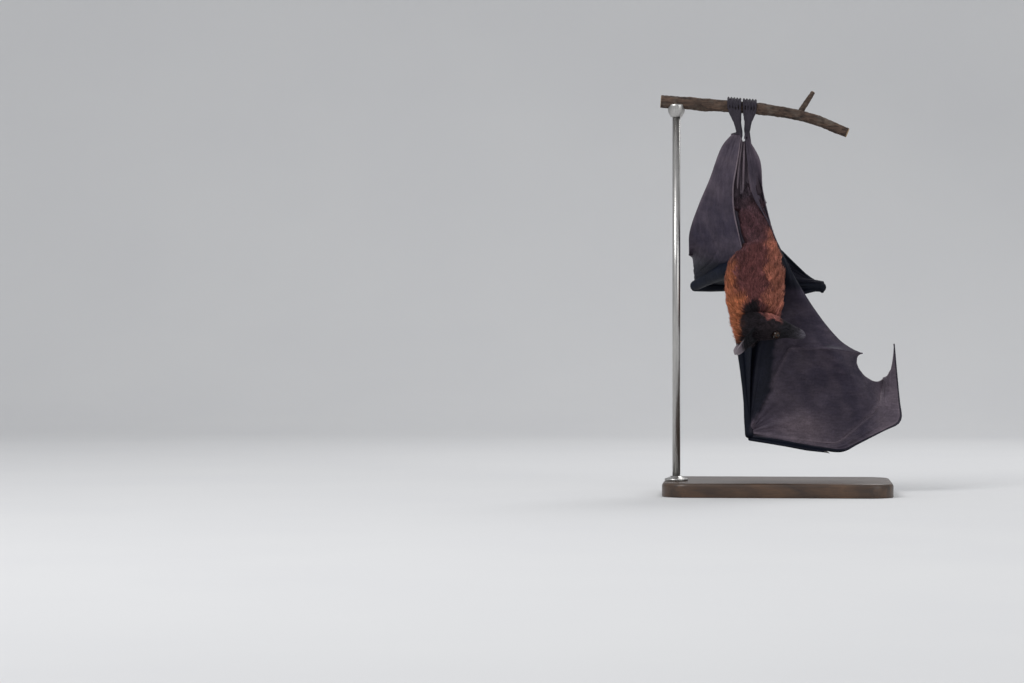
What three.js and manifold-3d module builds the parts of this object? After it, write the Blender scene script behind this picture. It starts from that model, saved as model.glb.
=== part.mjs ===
// A large Indian flying fox (fruit bat), hanging by both feet from a cut branch on a display stand.
// Millimetres, +Z up. The origin is the middle of the underside of the stand's base.
// The bat hangs with its back to -Y and its head down. Its left wing is half spread, forward and down,
// and its right wing is folded across the chest. "left" and "right" are the bat's own.
import * as THREE from "three";
import { mergeVertices } from "three/addons/utils/BufferGeometryUtils.js";
import Module from "manifold-3d";

const wasm = await Module();
wasm.setup();

// ---------------------------------------------------------------- driving dimensions

const GAP = 0.3; // clearance between two pieces that touch
const SKIN = 1.1; // thickness of a wing membrane
const INSET = 0.7; // how far a membrane's edge lies from the bone beside it

const BASE = { length: 290, width: 200, height: 18, corner: 34, bevel: 3 };
const ROD = { x: -128, radius: 5, footRadius: 15, footHeight: 6, cupRadius: 11, cupHeight: 16 };
const HANG_Y = -38; // the hanging bat and its branch stand this far in front of the middle of the base

// The branch runs from the rod past the feet and bends down at its far end.
const BRANCH = {
  path: [[-148, 6, 500], [-96, 8, 496], [-48, 4, 492], [-4, 2, 487], [44, -3, 476], [88, -7, 458]],
  radius: [8.6, 8.2, 7.8, 7.4, 7.0, 6.6],
  stub: { from: [26, 0, 481], to: [45, 10, 511], radius: [4.2, 3.0] },
};

// Bone lengths of an adult whose forearm is 167 mm.
const BONE = {
  humerus: 114,
  forearm: 167,
  thumb: 52,
  finger2: [78, 22],
  finger3: [120, 88, 112],
  finger4: [113, 70, 66],
  finger5: [121, 54, 54],
};

const BACK_TURN = THREE.MathUtils.degToRad(-12); // how far the back is turned from -Y
const HEAD = { nose: [34.5, -15, 202], pitch: -13, yaw: 4 };

// ---------------------------------------------------------------- small tools

const vec = (a) => new THREE.Vector3(...a);
const lerp = THREE.MathUtils.lerp;
const LEFT = new THREE.Vector3(Math.cos(BACK_TURN), -Math.sin(BACK_TURN), 0);
const BELLY = new THREE.Vector3(Math.sin(BACK_TURN), Math.cos(BACK_TURN), 0);

// The point at a bone's length from a joint, in a direction that need not be a unit.
const reach = (from, direction, length) =>
  from.clone().addScaledVector(vec(direction).normalize(), length);

// A number read off a short list of values spread evenly from t = 0 to t = 1.
function along(values, t) {
  const at = THREE.MathUtils.clamp(t, 0, 1) * (values.length - 1);
  const i = Math.min(Math.floor(at), values.length - 2);
  return lerp(values[i], values[i + 1], at - i);
}

// A closed geometry as a manifold solid, turned outside out if its faces point in.
function solidOf(geometry) {
  const bare = geometry.index ? geometry.toNonIndexed() : geometry.clone();
  const merged = mergeVertices(
    new THREE.BufferGeometry().setAttribute("position", bare.getAttribute("position")),
    1e-3,
  );
  const triVerts = new Uint32Array(merged.index.array);
  const vertProperties = merged.attributes.position.array;
  const made = new wasm.Manifold(new wasm.Mesh({ numProp: 3, vertProperties, triVerts }));
  if (made.volume() > 0) return made;
  for (let i = 0; i < triVerts.length; i += 3)
    [triVerts[i + 1], triVerts[i + 2]] = [triVerts[i + 2], triVerts[i + 1]];
  return new wasm.Manifold(new wasm.Mesh({ numProp: 3, vertProperties, triVerts }));
}

// The largest body of a solid, as a geometry.
function geometryOf(solid) {
  const bodies = solid.decompose().sort((a, b) => b.volume() - a.volume());
  const mesh = bodies[0].getMesh();
  const points = new Float32Array(mesh.numVert * 3);
  for (let i = 0; i < mesh.numVert; i++)
    points.set(mesh.vertProperties.subarray(i * mesh.numProp, i * mesh.numProp + 3), i * 3);
  return new THREE.BufferGeometry()
    .setAttribute("position", new THREE.BufferAttribute(points, 3))
    .setIndex(new THREE.BufferAttribute(mesh.triVerts, 1));
}

// A closed tube along a smooth path. radii is a list of radii or of [across, deep] pairs, spread evenly
// along the path, and "across" lies as near to the side direction as the path allows.
function tube({ path, radii, sides = 8, rings = 10, side = [0, 0, 1], grow = 0 }) {
  const curve = new THREE.CatmullRomCurve3(path, false, "centripetal");
  const across = radii.map((r) => (Array.isArray(r) ? r[0] : r));
  const deep = radii.map((r) => (Array.isArray(r) ? r[1] : r));
  const geometry = new THREE.CylinderGeometry(1, 1, 1, sides, rings, false);
  const p = geometry.attributes.position;
  for (let i = 0; i < p.count; i++) {
    const t = 0.5 - p.getY(i);
    const tangent = curve.getTangentAt(t);
    const u = vec(side).addScaledVector(tangent, -vec(side).dot(tangent)).normalize();
    const w = tangent.clone().cross(u);
    const end = t < 1e-6 ? -grow : t > 1 - 1e-6 ? grow : 0;
    const at = curve.getPointAt(t).addScaledVector(tangent, end);
    at.addScaledVector(u, p.getX(i) * (along(across, t) + grow));
    at.addScaledVector(w, p.getZ(i) * (along(deep, t) + grow));
    p.setXYZ(i, at.x, at.y, at.z);
  }
  return solidOf(geometry);
}

// A thick sheet over the surface at(u, v), for u and v from 0 to 1.
function sheet(at, stepsU, stepsV, thickness = SKIN) {
  const EPS = 1e-3;
  const row = stepsV + 1;
  const layer = (stepsU + 1) * row;
  const positions = [];
  for (const half of [thickness / 2, -thickness / 2])
    for (let i = 0; i < layer; i++) {
      const [u, v] = [Math.floor(i / row) / stepsU, (i % row) / stepsV];
      const du = at(Math.min(u + EPS, 1), v).sub(at(Math.max(u - EPS, 0), v));
      const dv = at(u, Math.min(v + EPS, 1)).sub(at(u, Math.max(v - EPS, 0)));
      positions.push(...at(u, v).addScaledVector(du.cross(dv).normalize(), half));
    }
  // Both faces are split along the same diagonals, so that they stay apart where the sheet twists.
  const index = [];
  for (let i = 0; i < stepsU; i++)
    for (let j = 0; j < stepsV; j++) {
      const [a, b] = [i * row + j, (i + 1) * row + j];
      const [c, d] = [b + 1, a + 1];
      index.push(a, b, c, a, c, d);
      index.push(...[a, c, b, a, d, c].map((k) => k + layer));
    }
  const rim = [];
  for (let i = 0; i < stepsU; i++) rim.push(i * row);
  for (let j = 0; j < stepsV; j++) rim.push(stepsU * row + j);
  for (let i = stepsU; i > 0; i--) rim.push(i * row + stepsV);
  for (let j = stepsV; j > 0; j--) rim.push(j);
  rim.forEach((p, k) => {
    const q = rim[(k + 1) % rim.length];
    index.push(q, p, p + layer, q, p + layer, q + layer);
  });
  const geometry = new THREE.BufferGeometry().setIndex(index);
  return solidOf(geometry.setAttribute("position", new THREE.Float32BufferAttribute(positions, 3)));
}

// The point at share v of the way from a to b, stopping short of each by its own inset.
function between(a, b, v, insetA, insetB) {
  const span = a.distanceTo(b);
  return a.clone().lerp(b, lerp(Math.min(0.4, insetA / span), 1 - Math.min(0.4, insetB / span), v));
}

// ---------------------------------------------------------------- skeleton

const PELVIS = new THREE.Vector3(-36, -1, 366);
const CHEST = new THREE.Vector3(-25, 0, 294);
const SHOULDER_HALF = 24;
const HIP_HALF = 13;
const sideways = (from, amount, forward = 0) =>
  from.clone().addScaledVector(LEFT, amount).addScaledVector(BELLY, forward);

// Each wing's joints, from the shoulder out. Every hand starts at its own spot across the wrist.
const WING_POSE = {
  left: {
    shoulder: sideways(CHEST, SHOULDER_HALF),
    humerus: [-0.44, 0.76, -0.475],
    forearm: [0.096, -0.12, -0.988],
    fan: [0, 0, 1],
    elbowShare: 3 / 4,
    heel: [3, 0, -11],
    thumb: [0.3, 0.62, 0.72],
    finger2: [[0.965, -0.25, -0.165], [0.985, -0.1, -0.12]],
    finger3: [[0.965, -0.13, -0.155], [0.865, 0.25, 0.43], [-0.06, 0.46, 0.885]],
    finger4: [[0.975, -0.07, -0.11], [0.74, 0.17, 0.64], [0.14, 0.8, 0.58]],
    finger5: [[0.42, -0.2, 0.885], [0.93, -0.36, -0.02], [0.79, 0.6, -0.12]],
    trailing: [
      [82, 56, 187],
      [54, 62, 219],
      [39, 58, 241],
      [24, 48, 262],
      [4, 34, 305],
      [-6, 18, 335],
      [-13, 2, 358],
      [-19, -9, 388],
      [-22, -9, 424],
    ],
    backEdge: [
      [-41, -10, 452],
      [-37, -15, 417],
      [-30, -20, 378],
      [-14.5, -10, 352],
      [-4, -7, 328],
      [1, -4, 312],
    ],
    hook: { thumb: [0.7, 0.2, -0.5], finger: [0.1, -0.8, -0.3] },
  },
  right: {
    shoulder: sideways(CHEST, -SHOULDER_HALF),
    humerus: [-0.515, 0.83, -0.24],
    forearm: [0.988, 0.15, -0.01],
    fan: [0, 0, 1],
    elbowShare: 5 / 8,
    heel: [-10, 0, -1],
    thumb: [-0.93, -0.27, -0.27],
    finger2: [[-0.715, 0.03, 0.7], [-0.8, 0.05, 0.6]],
    finger3: [[-0.775, 0.06, 0.62], [-0.35, -0.42, 0.83], [0.22, -0.2, -0.95]],
    finger4: [[-0.93, 0.02, 0.36], [-0.5, -0.5, 0.7], [0.3, -0.12, -0.95]],
    finger5: [[-0.978, -0.13, 0.155], [-0.86, -0.32, 0.26], [-0.06, -0.99, 0.03]],
    trailing: [
      [-112, 22, 332],
      [-100, 9, 368],
      [-86, 3, 400],
      [-70, -3, 442],
    ],
    backEdge: [
      [-46, -15, 455],
      [-50, -20, 424],
      [-55.5, -24, 392],
      [-55, -15, 361],
      [-50.5, -12, 338],
      [-45, -11, 314],
    ],
    hook: { thumb: [0.3, 0.6, -0.7], finger: [0.1, -0.8, -0.3] },
  },
};
const HAND_CLAW = {
  thumb: { length: 14, radius: 2.6, bend: 85 },
  finger: { length: 8, radius: 1.3, bend: 60 },
};
const FAN_STEP = 3.6; // spacing of the fingers' roots across the wrist

function wingJoints(pose) {
  const elbow = reach(pose.shoulder, pose.humerus, BONE.humerus);
  const wrist = reach(elbow, pose.forearm, BONE.forearm);
  const root = (n) => wrist.clone().addScaledVector(vec(pose.fan), FAN_STEP * (n - 3.5));
  const finger = (n) =>
    pose["finger" + n].reduce(
      (joints, direction, i) => [...joints, reach(joints[i], direction, BONE["finger" + n][i])],
      [root(n)],
    );
  return {
    shoulder: pose.shoulder,
    elbow,
    wrist,
    thumb: [wrist, reach(wrist, pose.thumb, BONE.thumb)],
    fingers: { 2: finger(2), 3: finger(3), 4: finger(4), 5: finger(5) },
    trailing: pose.trailing.map(vec),
    backEdge: pose.backEdge.map(vec),
    elbowShare: pose.elbowShare,
  };
}

const WINGS = { left: wingJoints(WING_POSE.left), right: wingJoints(WING_POSE.right) };

const LEGS = {
  left: {
    hip: sideways(PELVIS, HIP_HALF),
    knee: new THREE.Vector3(-25, -5, 384),
    ankle: new THREE.Vector3(-38.5, -4, 461),
    grip: -35,
  },
  right: {
    hip: sideways(PELVIS, -HIP_HALF),
    knee: new THREE.Vector3(-53, -15, 380),
    ankle: new THREE.Vector3(-47.5, -9, 458),
    grip: -54.5,
  },
};

// ---------------------------------------------------------------- trunk, neck and head

// The trunk from the rump down to the neck. The outline is that of the coat.
const TRUNK_AXIS = [
  [-39, -4, 392],
  [-37, -3, 374],
  [-33, -1, 356],
  [-27.5, 0, 338],
  [-22.5, 0, 320],
  [-24, 0, 302],
  [-27.5, 0, 284],
  [-29, 0, 265],
  [-28.5, 0, 246],
];
const TRUNK_RADII = [
  [8, 8],
  [15.5, 14],
  [18, 17.5],
  [20.3, 21],
  [21.5, 24],
  [29.5, 29],
  [37, 33.5],
  [38, 35],
  [36.5, 34],
];
const trunk = (grow = 0) =>
  tube({
    path: TRUNK_AXIS.map(vec),
    radii: TRUNK_RADII,
    sides: 14,
    rings: 12,
    side: LEFT.toArray(),
    grow,
  });

// The ruff of long fur round the neck, reaching down behind the ears.
const ruff = (grow = 0) =>
  tube({
    path: [[-28.5, 0, 246], [-29.5, 0, 232], [-32, 0, 216], [-36, 1, 199]].map(vec),
    radii: [[36.5, 34], [35, 32.5], [31, 29], [25.5, 24], [16, 14]],
    sides: 14,
    rings: 5,
    side: LEFT.toArray(),
    grow,
  });

const HEAD_YAW = THREE.MathUtils.degToRad(HEAD.yaw);
const HEAD_PITCH = THREE.MathUtils.degToRad(HEAD.pitch);
const FORWARD = new THREE.Vector3(
  Math.cos(HEAD_PITCH) * Math.cos(HEAD_YAW),
  Math.cos(HEAD_PITCH) * Math.sin(HEAD_YAW),
  Math.sin(HEAD_PITCH),
);
const NEAR = new THREE.Vector3(Math.sin(HEAD_YAW), -Math.cos(HEAD_YAW), 0); // the head's left side
const CROWN = FORWARD.clone().cross(NEAR).normalize(); // points down, as the bat hangs head down

// A point of the head: back from the nose, out to its left and towards its crown.
const onHead = (back, out, up) =>
  vec(HEAD.nose)
    .addScaledVector(FORWARD, -back)
    .addScaledVector(NEAR, out)
    .addScaledVector(CROWN, up);

// Stations from the nose back: distance, half width, height to the crown and depth to the jaw.
const HEAD_STATIONS = [
  [0, 3.2, 2.6, 2.6],
  [2.5, 5.8, 4.8, 5.6],
  [8, 7.6, 6.2, 8.0],
  [18, 8.6, 7.4, 11.0],
  [28, 10.4, 9.8, 15.0],
  [37, 14.6, 13.6, 19.0],
  [46, 18.0, 16.8, 21.0],
  [57, 19.8, 18.4, 20.5],
  [68, 18.6, 17.4, 17.6],
  [77, 13.6, 12.6, 13.4],
  [82, 6.5, 6.0, 6.5],
];

function headSolid(grow = 0) {
  const geometry = new THREE.CylinderGeometry(1, 1, 1, 12, HEAD_STATIONS.length - 1, false);
  const p = geometry.attributes.position;
  for (let i = 0; i < p.count; i++) {
    const row = Math.round((0.5 - p.getY(i)) * (HEAD_STATIONS.length - 1));
    const [back, wide, up, down] = HEAD_STATIONS[row];
    const [across, high] = [p.getX(i), p.getZ(i)];
    const lift = high > 0 ? up + grow : down + grow;
    const at = onHead(back, across * (wide + grow), high * lift);
    p.setXYZ(i, at.x, at.y, at.z);
  }
  return solidOf(geometry);
}

// ---------------------------------------------------------------- ears and eyes

const EAR = { back: 62, out: 13, up: 11, length: 38, halfWidth: 10.5, cup: 7, thickness: 1.8 };

// A cupped, pointed ear: s runs from root to tip and t across it, and its hollow faces forwards.
function ear(sign) {
  const root = onHead(EAR.back, sign * EAR.out, EAR.up);
  const axis = FORWARD.clone().multiplyScalar(-0.52)
    .addScaledVector(NEAR, sign * 0.42)
    .addScaledVector(CROWN, 0.74)
    .normalize();
  const across = NEAR.clone().multiplyScalar(sign).addScaledVector(FORWARD, -0.6);
  across.addScaledVector(axis, -across.dot(axis)).normalize();
  const hollow = axis.clone().cross(across).normalize();
  if (hollow.dot(FORWARD) > 0) hollow.negate();
  const SPREAD = 1.15; // half of the arc that the cup spans, in radians
  return (s, t) => {
    const width = EAR.halfWidth * Math.sqrt(Math.max(0, 1 - ((s - 0.32) / 0.74) ** 2)) + 0.9;
    const turn = (t * 2 - 1) * SPREAD;
    return root.clone()
      .addScaledVector(axis, s * EAR.length)
      .addScaledVector(across, (Math.sin(turn) * width) / Math.sin(SPREAD))
      .addScaledVector(hollow, Math.cos(turn) * EAR.cup * (1 - 0.75 * s) - EAR.cup * 0.4);
  };
}
const earSolid = (sign) => sheet(ear(sign), 5, 4, EAR.thickness);

const EYE = { back: 36.5, out: 11.4, up: 6.4, radius: 5.2 };
function eyeSolid(sign, grow = 0) {
  const at = onHead(EYE.back, sign * EYE.out, EYE.up);
  const ball = new THREE.SphereGeometry(EYE.radius + grow, 10, 6).translate(at.x, at.y, at.z);
  return solidOf(ball);
}

// ---------------------------------------------------------------- wings

const FINGER_RADII = {
  2: [2.6, 2.0, 1.7, 1.9, 1.3],
  3: [3.0, 2.2, 2.0, 2.5, 1.7, 1.5, 1.9, 1.3, 1.1, 1.1],
  4: [2.8, 2.1, 1.9, 2.4, 1.6, 1.4, 1.7, 1.2, 1.1],
  5: [3.0, 2.2, 2.0, 2.4, 1.6, 1.4, 1.6, 1.2, 1.1],
};

const upperArm = (wing, grow = 0) =>
  tube({ path: [wing.shoulder, wing.elbow], radii: [14, 13, 11, 9.5, 8], sides: 10, rings: 5, grow });

const foreArm = (wing, grow = 0) =>
  tube({
    path: [wing.elbow, wing.wrist],
    radii: [7.6, 7.8, 7.0, 6.0, 5.0, 4.4, 4.4, 5.8, 6.4],
    sides: 8,
    rings: 10,
    side: [0.4, 0.6, 0.5],
    grow,
  });

// A digit's path keeps its joints sharp enough to show by adding a point close to each side of them.
function digitPath(joints) {
  const path = [joints[0]];
  for (let i = 1; i < joints.length - 1; i++)
    for (const share of [0.94, 1.06]) {
      const from = share < 1 ? i - 1 : i;
      path.push(joints[from].clone().lerp(joints[from + 1], share % 1));
    }
  path.push(joints.at(-1));
  return path;
}

const finger = (wing, n, grow = 0) =>
  tube({
    path: digitPath(wing.fingers[n]),
    radii: FINGER_RADII[n],
    sides: 5,
    rings: n === 2 ? 6 : 12,
    side: [0.3, 0.8, 0.4],
    grow,
  });

const THUMB_RADII = [3.6, 2.8, 2.4, 2.8, 2.2];
const thumb = (wing, grow = 0) =>
  tube({ path: wing.thumb, radii: THUMB_RADII, sides: 6, rings: 4, side: [0.9, 0.1, 0.3], grow });

// A line through a wing given in stretches, each [from u, to u, curve], so that landmarks keep their u.
const rail = (...stretches) => (u) => {
  const [from, to, curve] = stretches.find((stretch) => u <= stretch[1] + 1e-9) ?? stretches.at(-1);
  return curve.getPointAt(THREE.MathUtils.clamp((u - from) / (to - from), 0, 1));
};
const bone = (from, to) => new THREE.LineCurve3(from, to);

// The body side of the large membrane: from the ankle over the back of the leg and down the side of the
// back to the shoulder, then along the arm to the wrist.
function bodyRail(side) {
  const wing = WINGS[side];
  const armpit = wing.shoulder.clone().lerp(wing.elbow, 0.15);
  return rail(
    [0, 1 / 2, new THREE.CatmullRomCurve3([...wing.backEdge, armpit], false, "centripetal")],
    [1 / 2, wing.elbowShare, bone(armpit, wing.elbow)],
    [wing.elbowShare, 1, bone(wing.elbow, wing.wrist)],
  );
}

// The free side: from the ankle along the trailing edge to the tip of the fifth finger, then back down
// that finger to the wrist.
function freeRail(side) {
  const wing = WINGS[side];
  const [root, knuckle, joint, tip] = wing.fingers[5];
  const heel = LEGS[side].ankle.clone().add(vec(WING_POSE[side].heel));
  const trailing = [heel, ...wing.trailing.slice().reverse(), tip];
  return rail(
    [0, 1 / 2, new THREE.CatmullRomCurve3(trailing, false, "centripetal")],
    [1 / 2, 5 / 8, bone(tip, joint)],
    [5 / 8, 3 / 4, bone(joint, knuckle)],
    [3 / 4, 1, bone(knuckle, root)],
  );
}

const WRIST_END = 0.94; // the large membrane ends just short of the wrist, where its two sides meet

function plagiopatagium(side) {
  const [body, free] = [bodyRail(side), freeRail(side)];
  return (u, v) => {
    const w = u < 0.75 ? u : lerp(0.75, WRIST_END, (u - 0.75) * 4);
    const edge = w < 0.5 ? 0 : INSET + along(FINGER_RADII[5], 2 - 2 * w);
    return between(body(w), free(w), v, 0, edge);
  };
}

// The small membrane between the legs. Its free edge curves in between the ankles.
function legMembrane() {
  const [left, right] = ["left", "right"].map((side) => bone(LEGS[side].ankle, LEGS[side].knee));
  return (u, v) => {
    const w = lerp(0.08 + 0.1 * 4 * v * (1 - v), 1, u);
    return left.getPoint(w).lerp(right.getPoint(w), v);
  };
}

// A finger as a line whose joints sit at four tenths and seven tenths.
const fingerRail = ([root, knuckle, joint, tip]) =>
  rail([0, 0.4, bone(root, knuckle)], [0.4, 0.7, bone(knuckle, joint)], [0.7, 1, bone(joint, tip)]);

// How far the trailing edge curves in behind the tips of fingers 4 and 5, and of 3 and 4, as a share.
const SCALLOP = { left: { 4: 0.17, 3: 0.07 }, right: { 4: 0.22, 3: 0.12 } };

// The membrane between two fingers, with a trailing edge that curves in between their tips.
function handMembrane(side, n, { scallop, start }) {
  const [one, two] = [n, n + 1].map((digit) => fingerRail(WINGS[side].fingers[digit]));
  const at = (u, v) => {
    const even = Math.max(start, u);
    const w = even < 0.7 ? even : lerp(0.7, 1 - scallop * 4 * v * (1 - v), (even - 0.7) / 0.3);
    const [edgeOne, edgeTwo] = [n, n + 1].map((digit) => INSET + along(FINGER_RADII[digit], w));
    return between(one(w), two(w), v, edgeOne, edgeTwo);
  };
  return sheet(at, 10, 3);
}

// The membrane in the crook of the arm, from the shoulder to the wrist.
function propatagium(side) {
  const wing = WINGS[side];
  const arm = new THREE.CatmullRomCurve3(
    [wing.shoulder.clone().lerp(wing.elbow, 0.2), wing.elbow, wing.wrist.clone().lerp(wing.elbow, 0.04)],
    false,
    "centripetal",
  );
  const pull = wing.shoulder.clone().lerp(wing.wrist, 0.5).lerp(wing.elbow, 0.62);
  const rim = new THREE.QuadraticBezierCurve3(
    wing.shoulder.clone().lerp(wing.wrist, 0.1).lerp(wing.elbow, 0.2),
    pull,
    wing.wrist.clone().lerp(wing.shoulder, 0.03),
  );
  return (u, v) => arm.getPointAt(u).lerp(rim.getPointAt(u), v);
}

// The small membrane between the second and the third finger.
const leadingMembrane = (side) => {
  const [near, end, tip] = WINGS[side].fingers[2];
  const one = rail([0, 0.75, bone(near, end)], [0.75, 1, bone(end, tip)]);
  const two = fingerRail(WINGS[side].fingers[3]);
  return (u, v) => between(one(lerp(0.15, 0.94, u)), two(lerp(0.05, 0.36, u)), v, 2.6, 3);
};

// ---------------------------------------------------------------- legs and feet

const THIGH_RADII = [11, 10.5, 9, 7];
const thigh = (leg, grow = 0) =>
  tube({ path: [leg.hip, leg.knee], radii: THIGH_RADII, sides: 8, rings: 4, side: [1, 0, 0], grow });

const SHIN_RADII = [6.6, 5.6, 4.4, 3.6, 3.6, 4.2];
const shin = (leg, grow = 0) =>
  tube({ path: [leg.knee, leg.ankle], radii: SHIN_RADII, sides: 8, rings: 6, side: [1, 0, 0], grow });

const TOE = { count: 5, spacing: 3.7, radius: 1.8 };
const CLAW = { length: 11, radius: 1.7 };
const branchCurve = new THREE.CatmullRomCurve3(BRANCH.path.map(vec), false, "centripetal");
const branchAt = (x) => {
  const t = (x - BRANCH.path[0][0]) / (BRANCH.path.at(-1)[0] - BRANCH.path[0][0]);
  const u = THREE.MathUtils.clamp(t, 0, 1);
  return { centre: branchCurve.getPoint(u), radius: along(BRANCH.radius, u) };
};

// A point of a toe that wraps over the branch: turn 0 is the near side of the branch, 90 its top.
function overBranch(x, turn, lift) {
  const { centre, radius } = branchAt(x);
  const a = THREE.MathUtils.degToRad(turn);
  return new THREE.Vector3(
    x,
    centre.y - Math.cos(a) * (radius + lift),
    centre.z + Math.sin(a) * (radius + lift),
  );
}

const toeX = (leg, i) => leg.grip + (i - (TOE.count - 1) / 2) * TOE.spacing;

// The toes part at the end of the sole and wrap over the branch from its near side.
function foot(leg) {
  const lift = TOE.radius + GAP;
  const towards = overBranch(leg.grip, -8, lift + 1);
  const [middle, end] = [0.3, 0.6].map((share) => leg.ankle.clone().lerp(towards, share));
  const radii = [[4.4, 4.2], [4.3, 4.4], [4.8, 4], [5.8, 3.4]];
  let solid = tube({ path: [leg.ankle, middle, end], radii, sides: 8, rings: 3, side: [1, 0, 0] });
  for (let i = 0; i < TOE.count; i++) {
    const root = leg.ankle.clone().lerp(towards, 0.5);
    root.x += (i - 2) * TOE.spacing * 0.6;
    const wrapped = [-6, 24, 50, 76].map((turn) => overBranch(toeX(leg, i), turn, lift));
    const path = [root, ...wrapped];
    solid = solid.add(tube({ path, radii: [2.1, 1.7, 1.9, 1.6], sides: 4, rings: 3, side: [1, 1, 0] }));
  }
  return solid;
}

// A hooked claw: it starts on a digit's tip and curves round by its bend, in degrees.
function claw(root, forward, down, length, radius, bend = 70) {
  const f = forward.clone().normalize();
  const d = down.clone().addScaledVector(f, -down.dot(f)).normalize();
  const total = THREE.MathUtils.degToRad(bend);
  const arc = length / total;
  const path = [0, 0.33, 0.66, 1].map((t) =>
    root.clone()
      .addScaledVector(f, arc * Math.sin(total * t))
      .addScaledVector(d, arc * (1 - Math.cos(total * t))),
  );
  const side = f.clone().cross(d).toArray();
  const radii = [1, 0.75, 0.4, 0.15].map((share) => [radius * share * 0.8, radius * share * 1.15]);
  return tube({ path, radii, sides: 4, rings: 3, side });
}

function toeClaw(leg, i) {
  const x = toeX(leg, i);
  const lift = TOE.radius + GAP;
  const root = overBranch(x, 84, lift + 0.2);
  const forward = overBranch(x, 100, lift + 1.2).sub(root);
  const down = branchAt(x).centre.clone().sub(root);
  down.x = 0;
  return claw(root, forward, down, CLAW.length, CLAW.radius, 78);
}

// ---------------------------------------------------------------- perch and stand

function branch(grow = 0) {
  const { path, radius, stub } = BRANCH;
  const main = tube({ path: path.map(vec), radii: radius, sides: 8, rings: 10, grow });
  const ends = [stub.from, stub.to].map(vec);
  return main.add(tube({ path: ends, radii: stub.radius, sides: 8, rings: 2, side: [0, 1, 0], grow }));
}

function base() {
  const [x, y, r] = [BASE.length / 2 - BASE.bevel, BASE.width / 2 - BASE.bevel, BASE.corner];
  const outline = new THREE.Shape();
  outline.moveTo(-x + r, -y);
  outline.lineTo(x - r, -y).absarc(x - r, -y + r, r, -Math.PI / 2, 0);
  outline.lineTo(x, y - r).absarc(x - r, y - r, r, 0, Math.PI / 2);
  outline.lineTo(-x + r, y).absarc(-x + r, y - r, r, Math.PI / 2, Math.PI);
  outline.lineTo(-x, -y + r).absarc(-x + r, -y + r, r, Math.PI, 1.5 * Math.PI);
  const slab = new THREE.ExtrudeGeometry(outline, {
    depth: BASE.height - 2 * BASE.bevel,
    bevelThickness: BASE.bevel,
    bevelSize: BASE.bevel,
    bevelSegments: 1,
    curveSegments: 3,
  });
  return solidOf(slab.translate(0, 0, BASE.bevel));
}

const rodTop = () => {
  const { centre, radius } = branchAt(ROD.x);
  return { y: HANG_Y + centre.y, z: centre.z - radius - 2 };
};

function cylinder(x, y, low, high, radius, sides = 12) {
  const made = new THREE.CylinderGeometry(radius, radius, high - low, sides, 1, false);
  return solidOf(made.rotateX(Math.PI / 2).translate(x, y, (low + high) / 2));
}

// ---------------------------------------------------------------- materials

const paint = (color, roughness, metalness = 0) =>
  new THREE.MeshStandardMaterial({ color, roughness, metalness });
const MATERIAL = {
  mantle: paint(0xa5551f, 0.9),
  back: paint(0x5a2a1c, 0.9),
  face: paint(0x1d1613, 0.85),
  membrane: paint(0x35303a, 0.62),
  eye: paint(0x170c07, 0.08),
  claw: paint(0x14110f, 0.35),
  bark: paint(0x4a3128, 0.9),
  wood: paint(0x3a2418, 0.45),
  metal: paint(0xa9a9a6, 0.3, 1),
};

// ---------------------------------------------------------------- assembly

const display = new THREE.Group();
const hanging = new THREE.Group();
hanging.position.y = HANG_Y;
display.add(hanging);

function place(group, name, solid, material) {
  const mesh = new THREE.Mesh(geometryOf(solid), material);
  mesh.name = name;
  group.add(mesh);
}

// Cuts a solid back from the pieces beside it, each given already grown by the gap.
const clear = (solid, ...others) => others.reduce((left, other) => left.subtract(other), solid);

function addBody() {
  const eyes = [eyeSolid(1, GAP), eyeSolid(-1, GAP)];
  place(hanging, "head", clear(headSolid(), ...eyes), MATERIAL.face);
  place(hanging, "ear_left", clear(earSolid(1), headSolid(GAP), ruff(GAP)), MATERIAL.face);
  place(hanging, "ear_right", clear(earSolid(-1), headSolid(GAP), ruff(GAP)), MATERIAL.face);
  place(hanging, "eye_left", eyeSolid(1), MATERIAL.eye);
  place(hanging, "eye_right", eyeSolid(-1), MATERIAL.eye);
  place(hanging, "neck", clear(ruff(), headSolid(GAP), trunk(GAP)), MATERIAL.mantle);
  place(hanging, "trunk", trunk(), MATERIAL.back);
}

function addLeg(side) {
  const leg = LEGS[side];
  const bark = branch(GAP * 0.7);
  place(hanging, "thigh_" + side, clear(thigh(leg), trunk(GAP)), MATERIAL.back);
  place(hanging, "shin_" + side, clear(shin(leg), thigh(leg, GAP), trunk(GAP)), MATERIAL.back);
  place(hanging, "foot_" + side, clear(foot(leg), shin(leg, GAP), bark), MATERIAL.membrane);
  for (let i = 0; i < TOE.count; i++) {
    const solid = clear(toeClaw(leg, i), bark, foot(leg));
    place(hanging, `claw_toe_${side}_${i + 1}`, solid, MATERIAL.claw);
  }
}

function addArm(side) {
  const wing = WINGS[side];
  const cut = { head: headSolid(GAP), ruff: ruff(GAP), trunk: trunk(GAP) };
  place(hanging, "upper_arm_" + side, clear(upperArm(wing), ...Object.values(cut)), MATERIAL.mantle);
  place(hanging, "forearm_" + side, clear(foreArm(wing), upperArm(wing, GAP)), MATERIAL.membrane);
  place(hanging, "thumb_" + side, clear(thumb(wing), foreArm(wing, GAP)), MATERIAL.membrane);
  const cleared = [foreArm(wing, GAP), thumb(wing, GAP)];
  for (const n of [3, 5, 4, 2]) {
    place(hanging, `finger_${n}_${side}`, clear(finger(wing, n), ...cleared), MATERIAL.membrane);
    cleared.push(finger(wing, n, GAP));
  }
}

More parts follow.
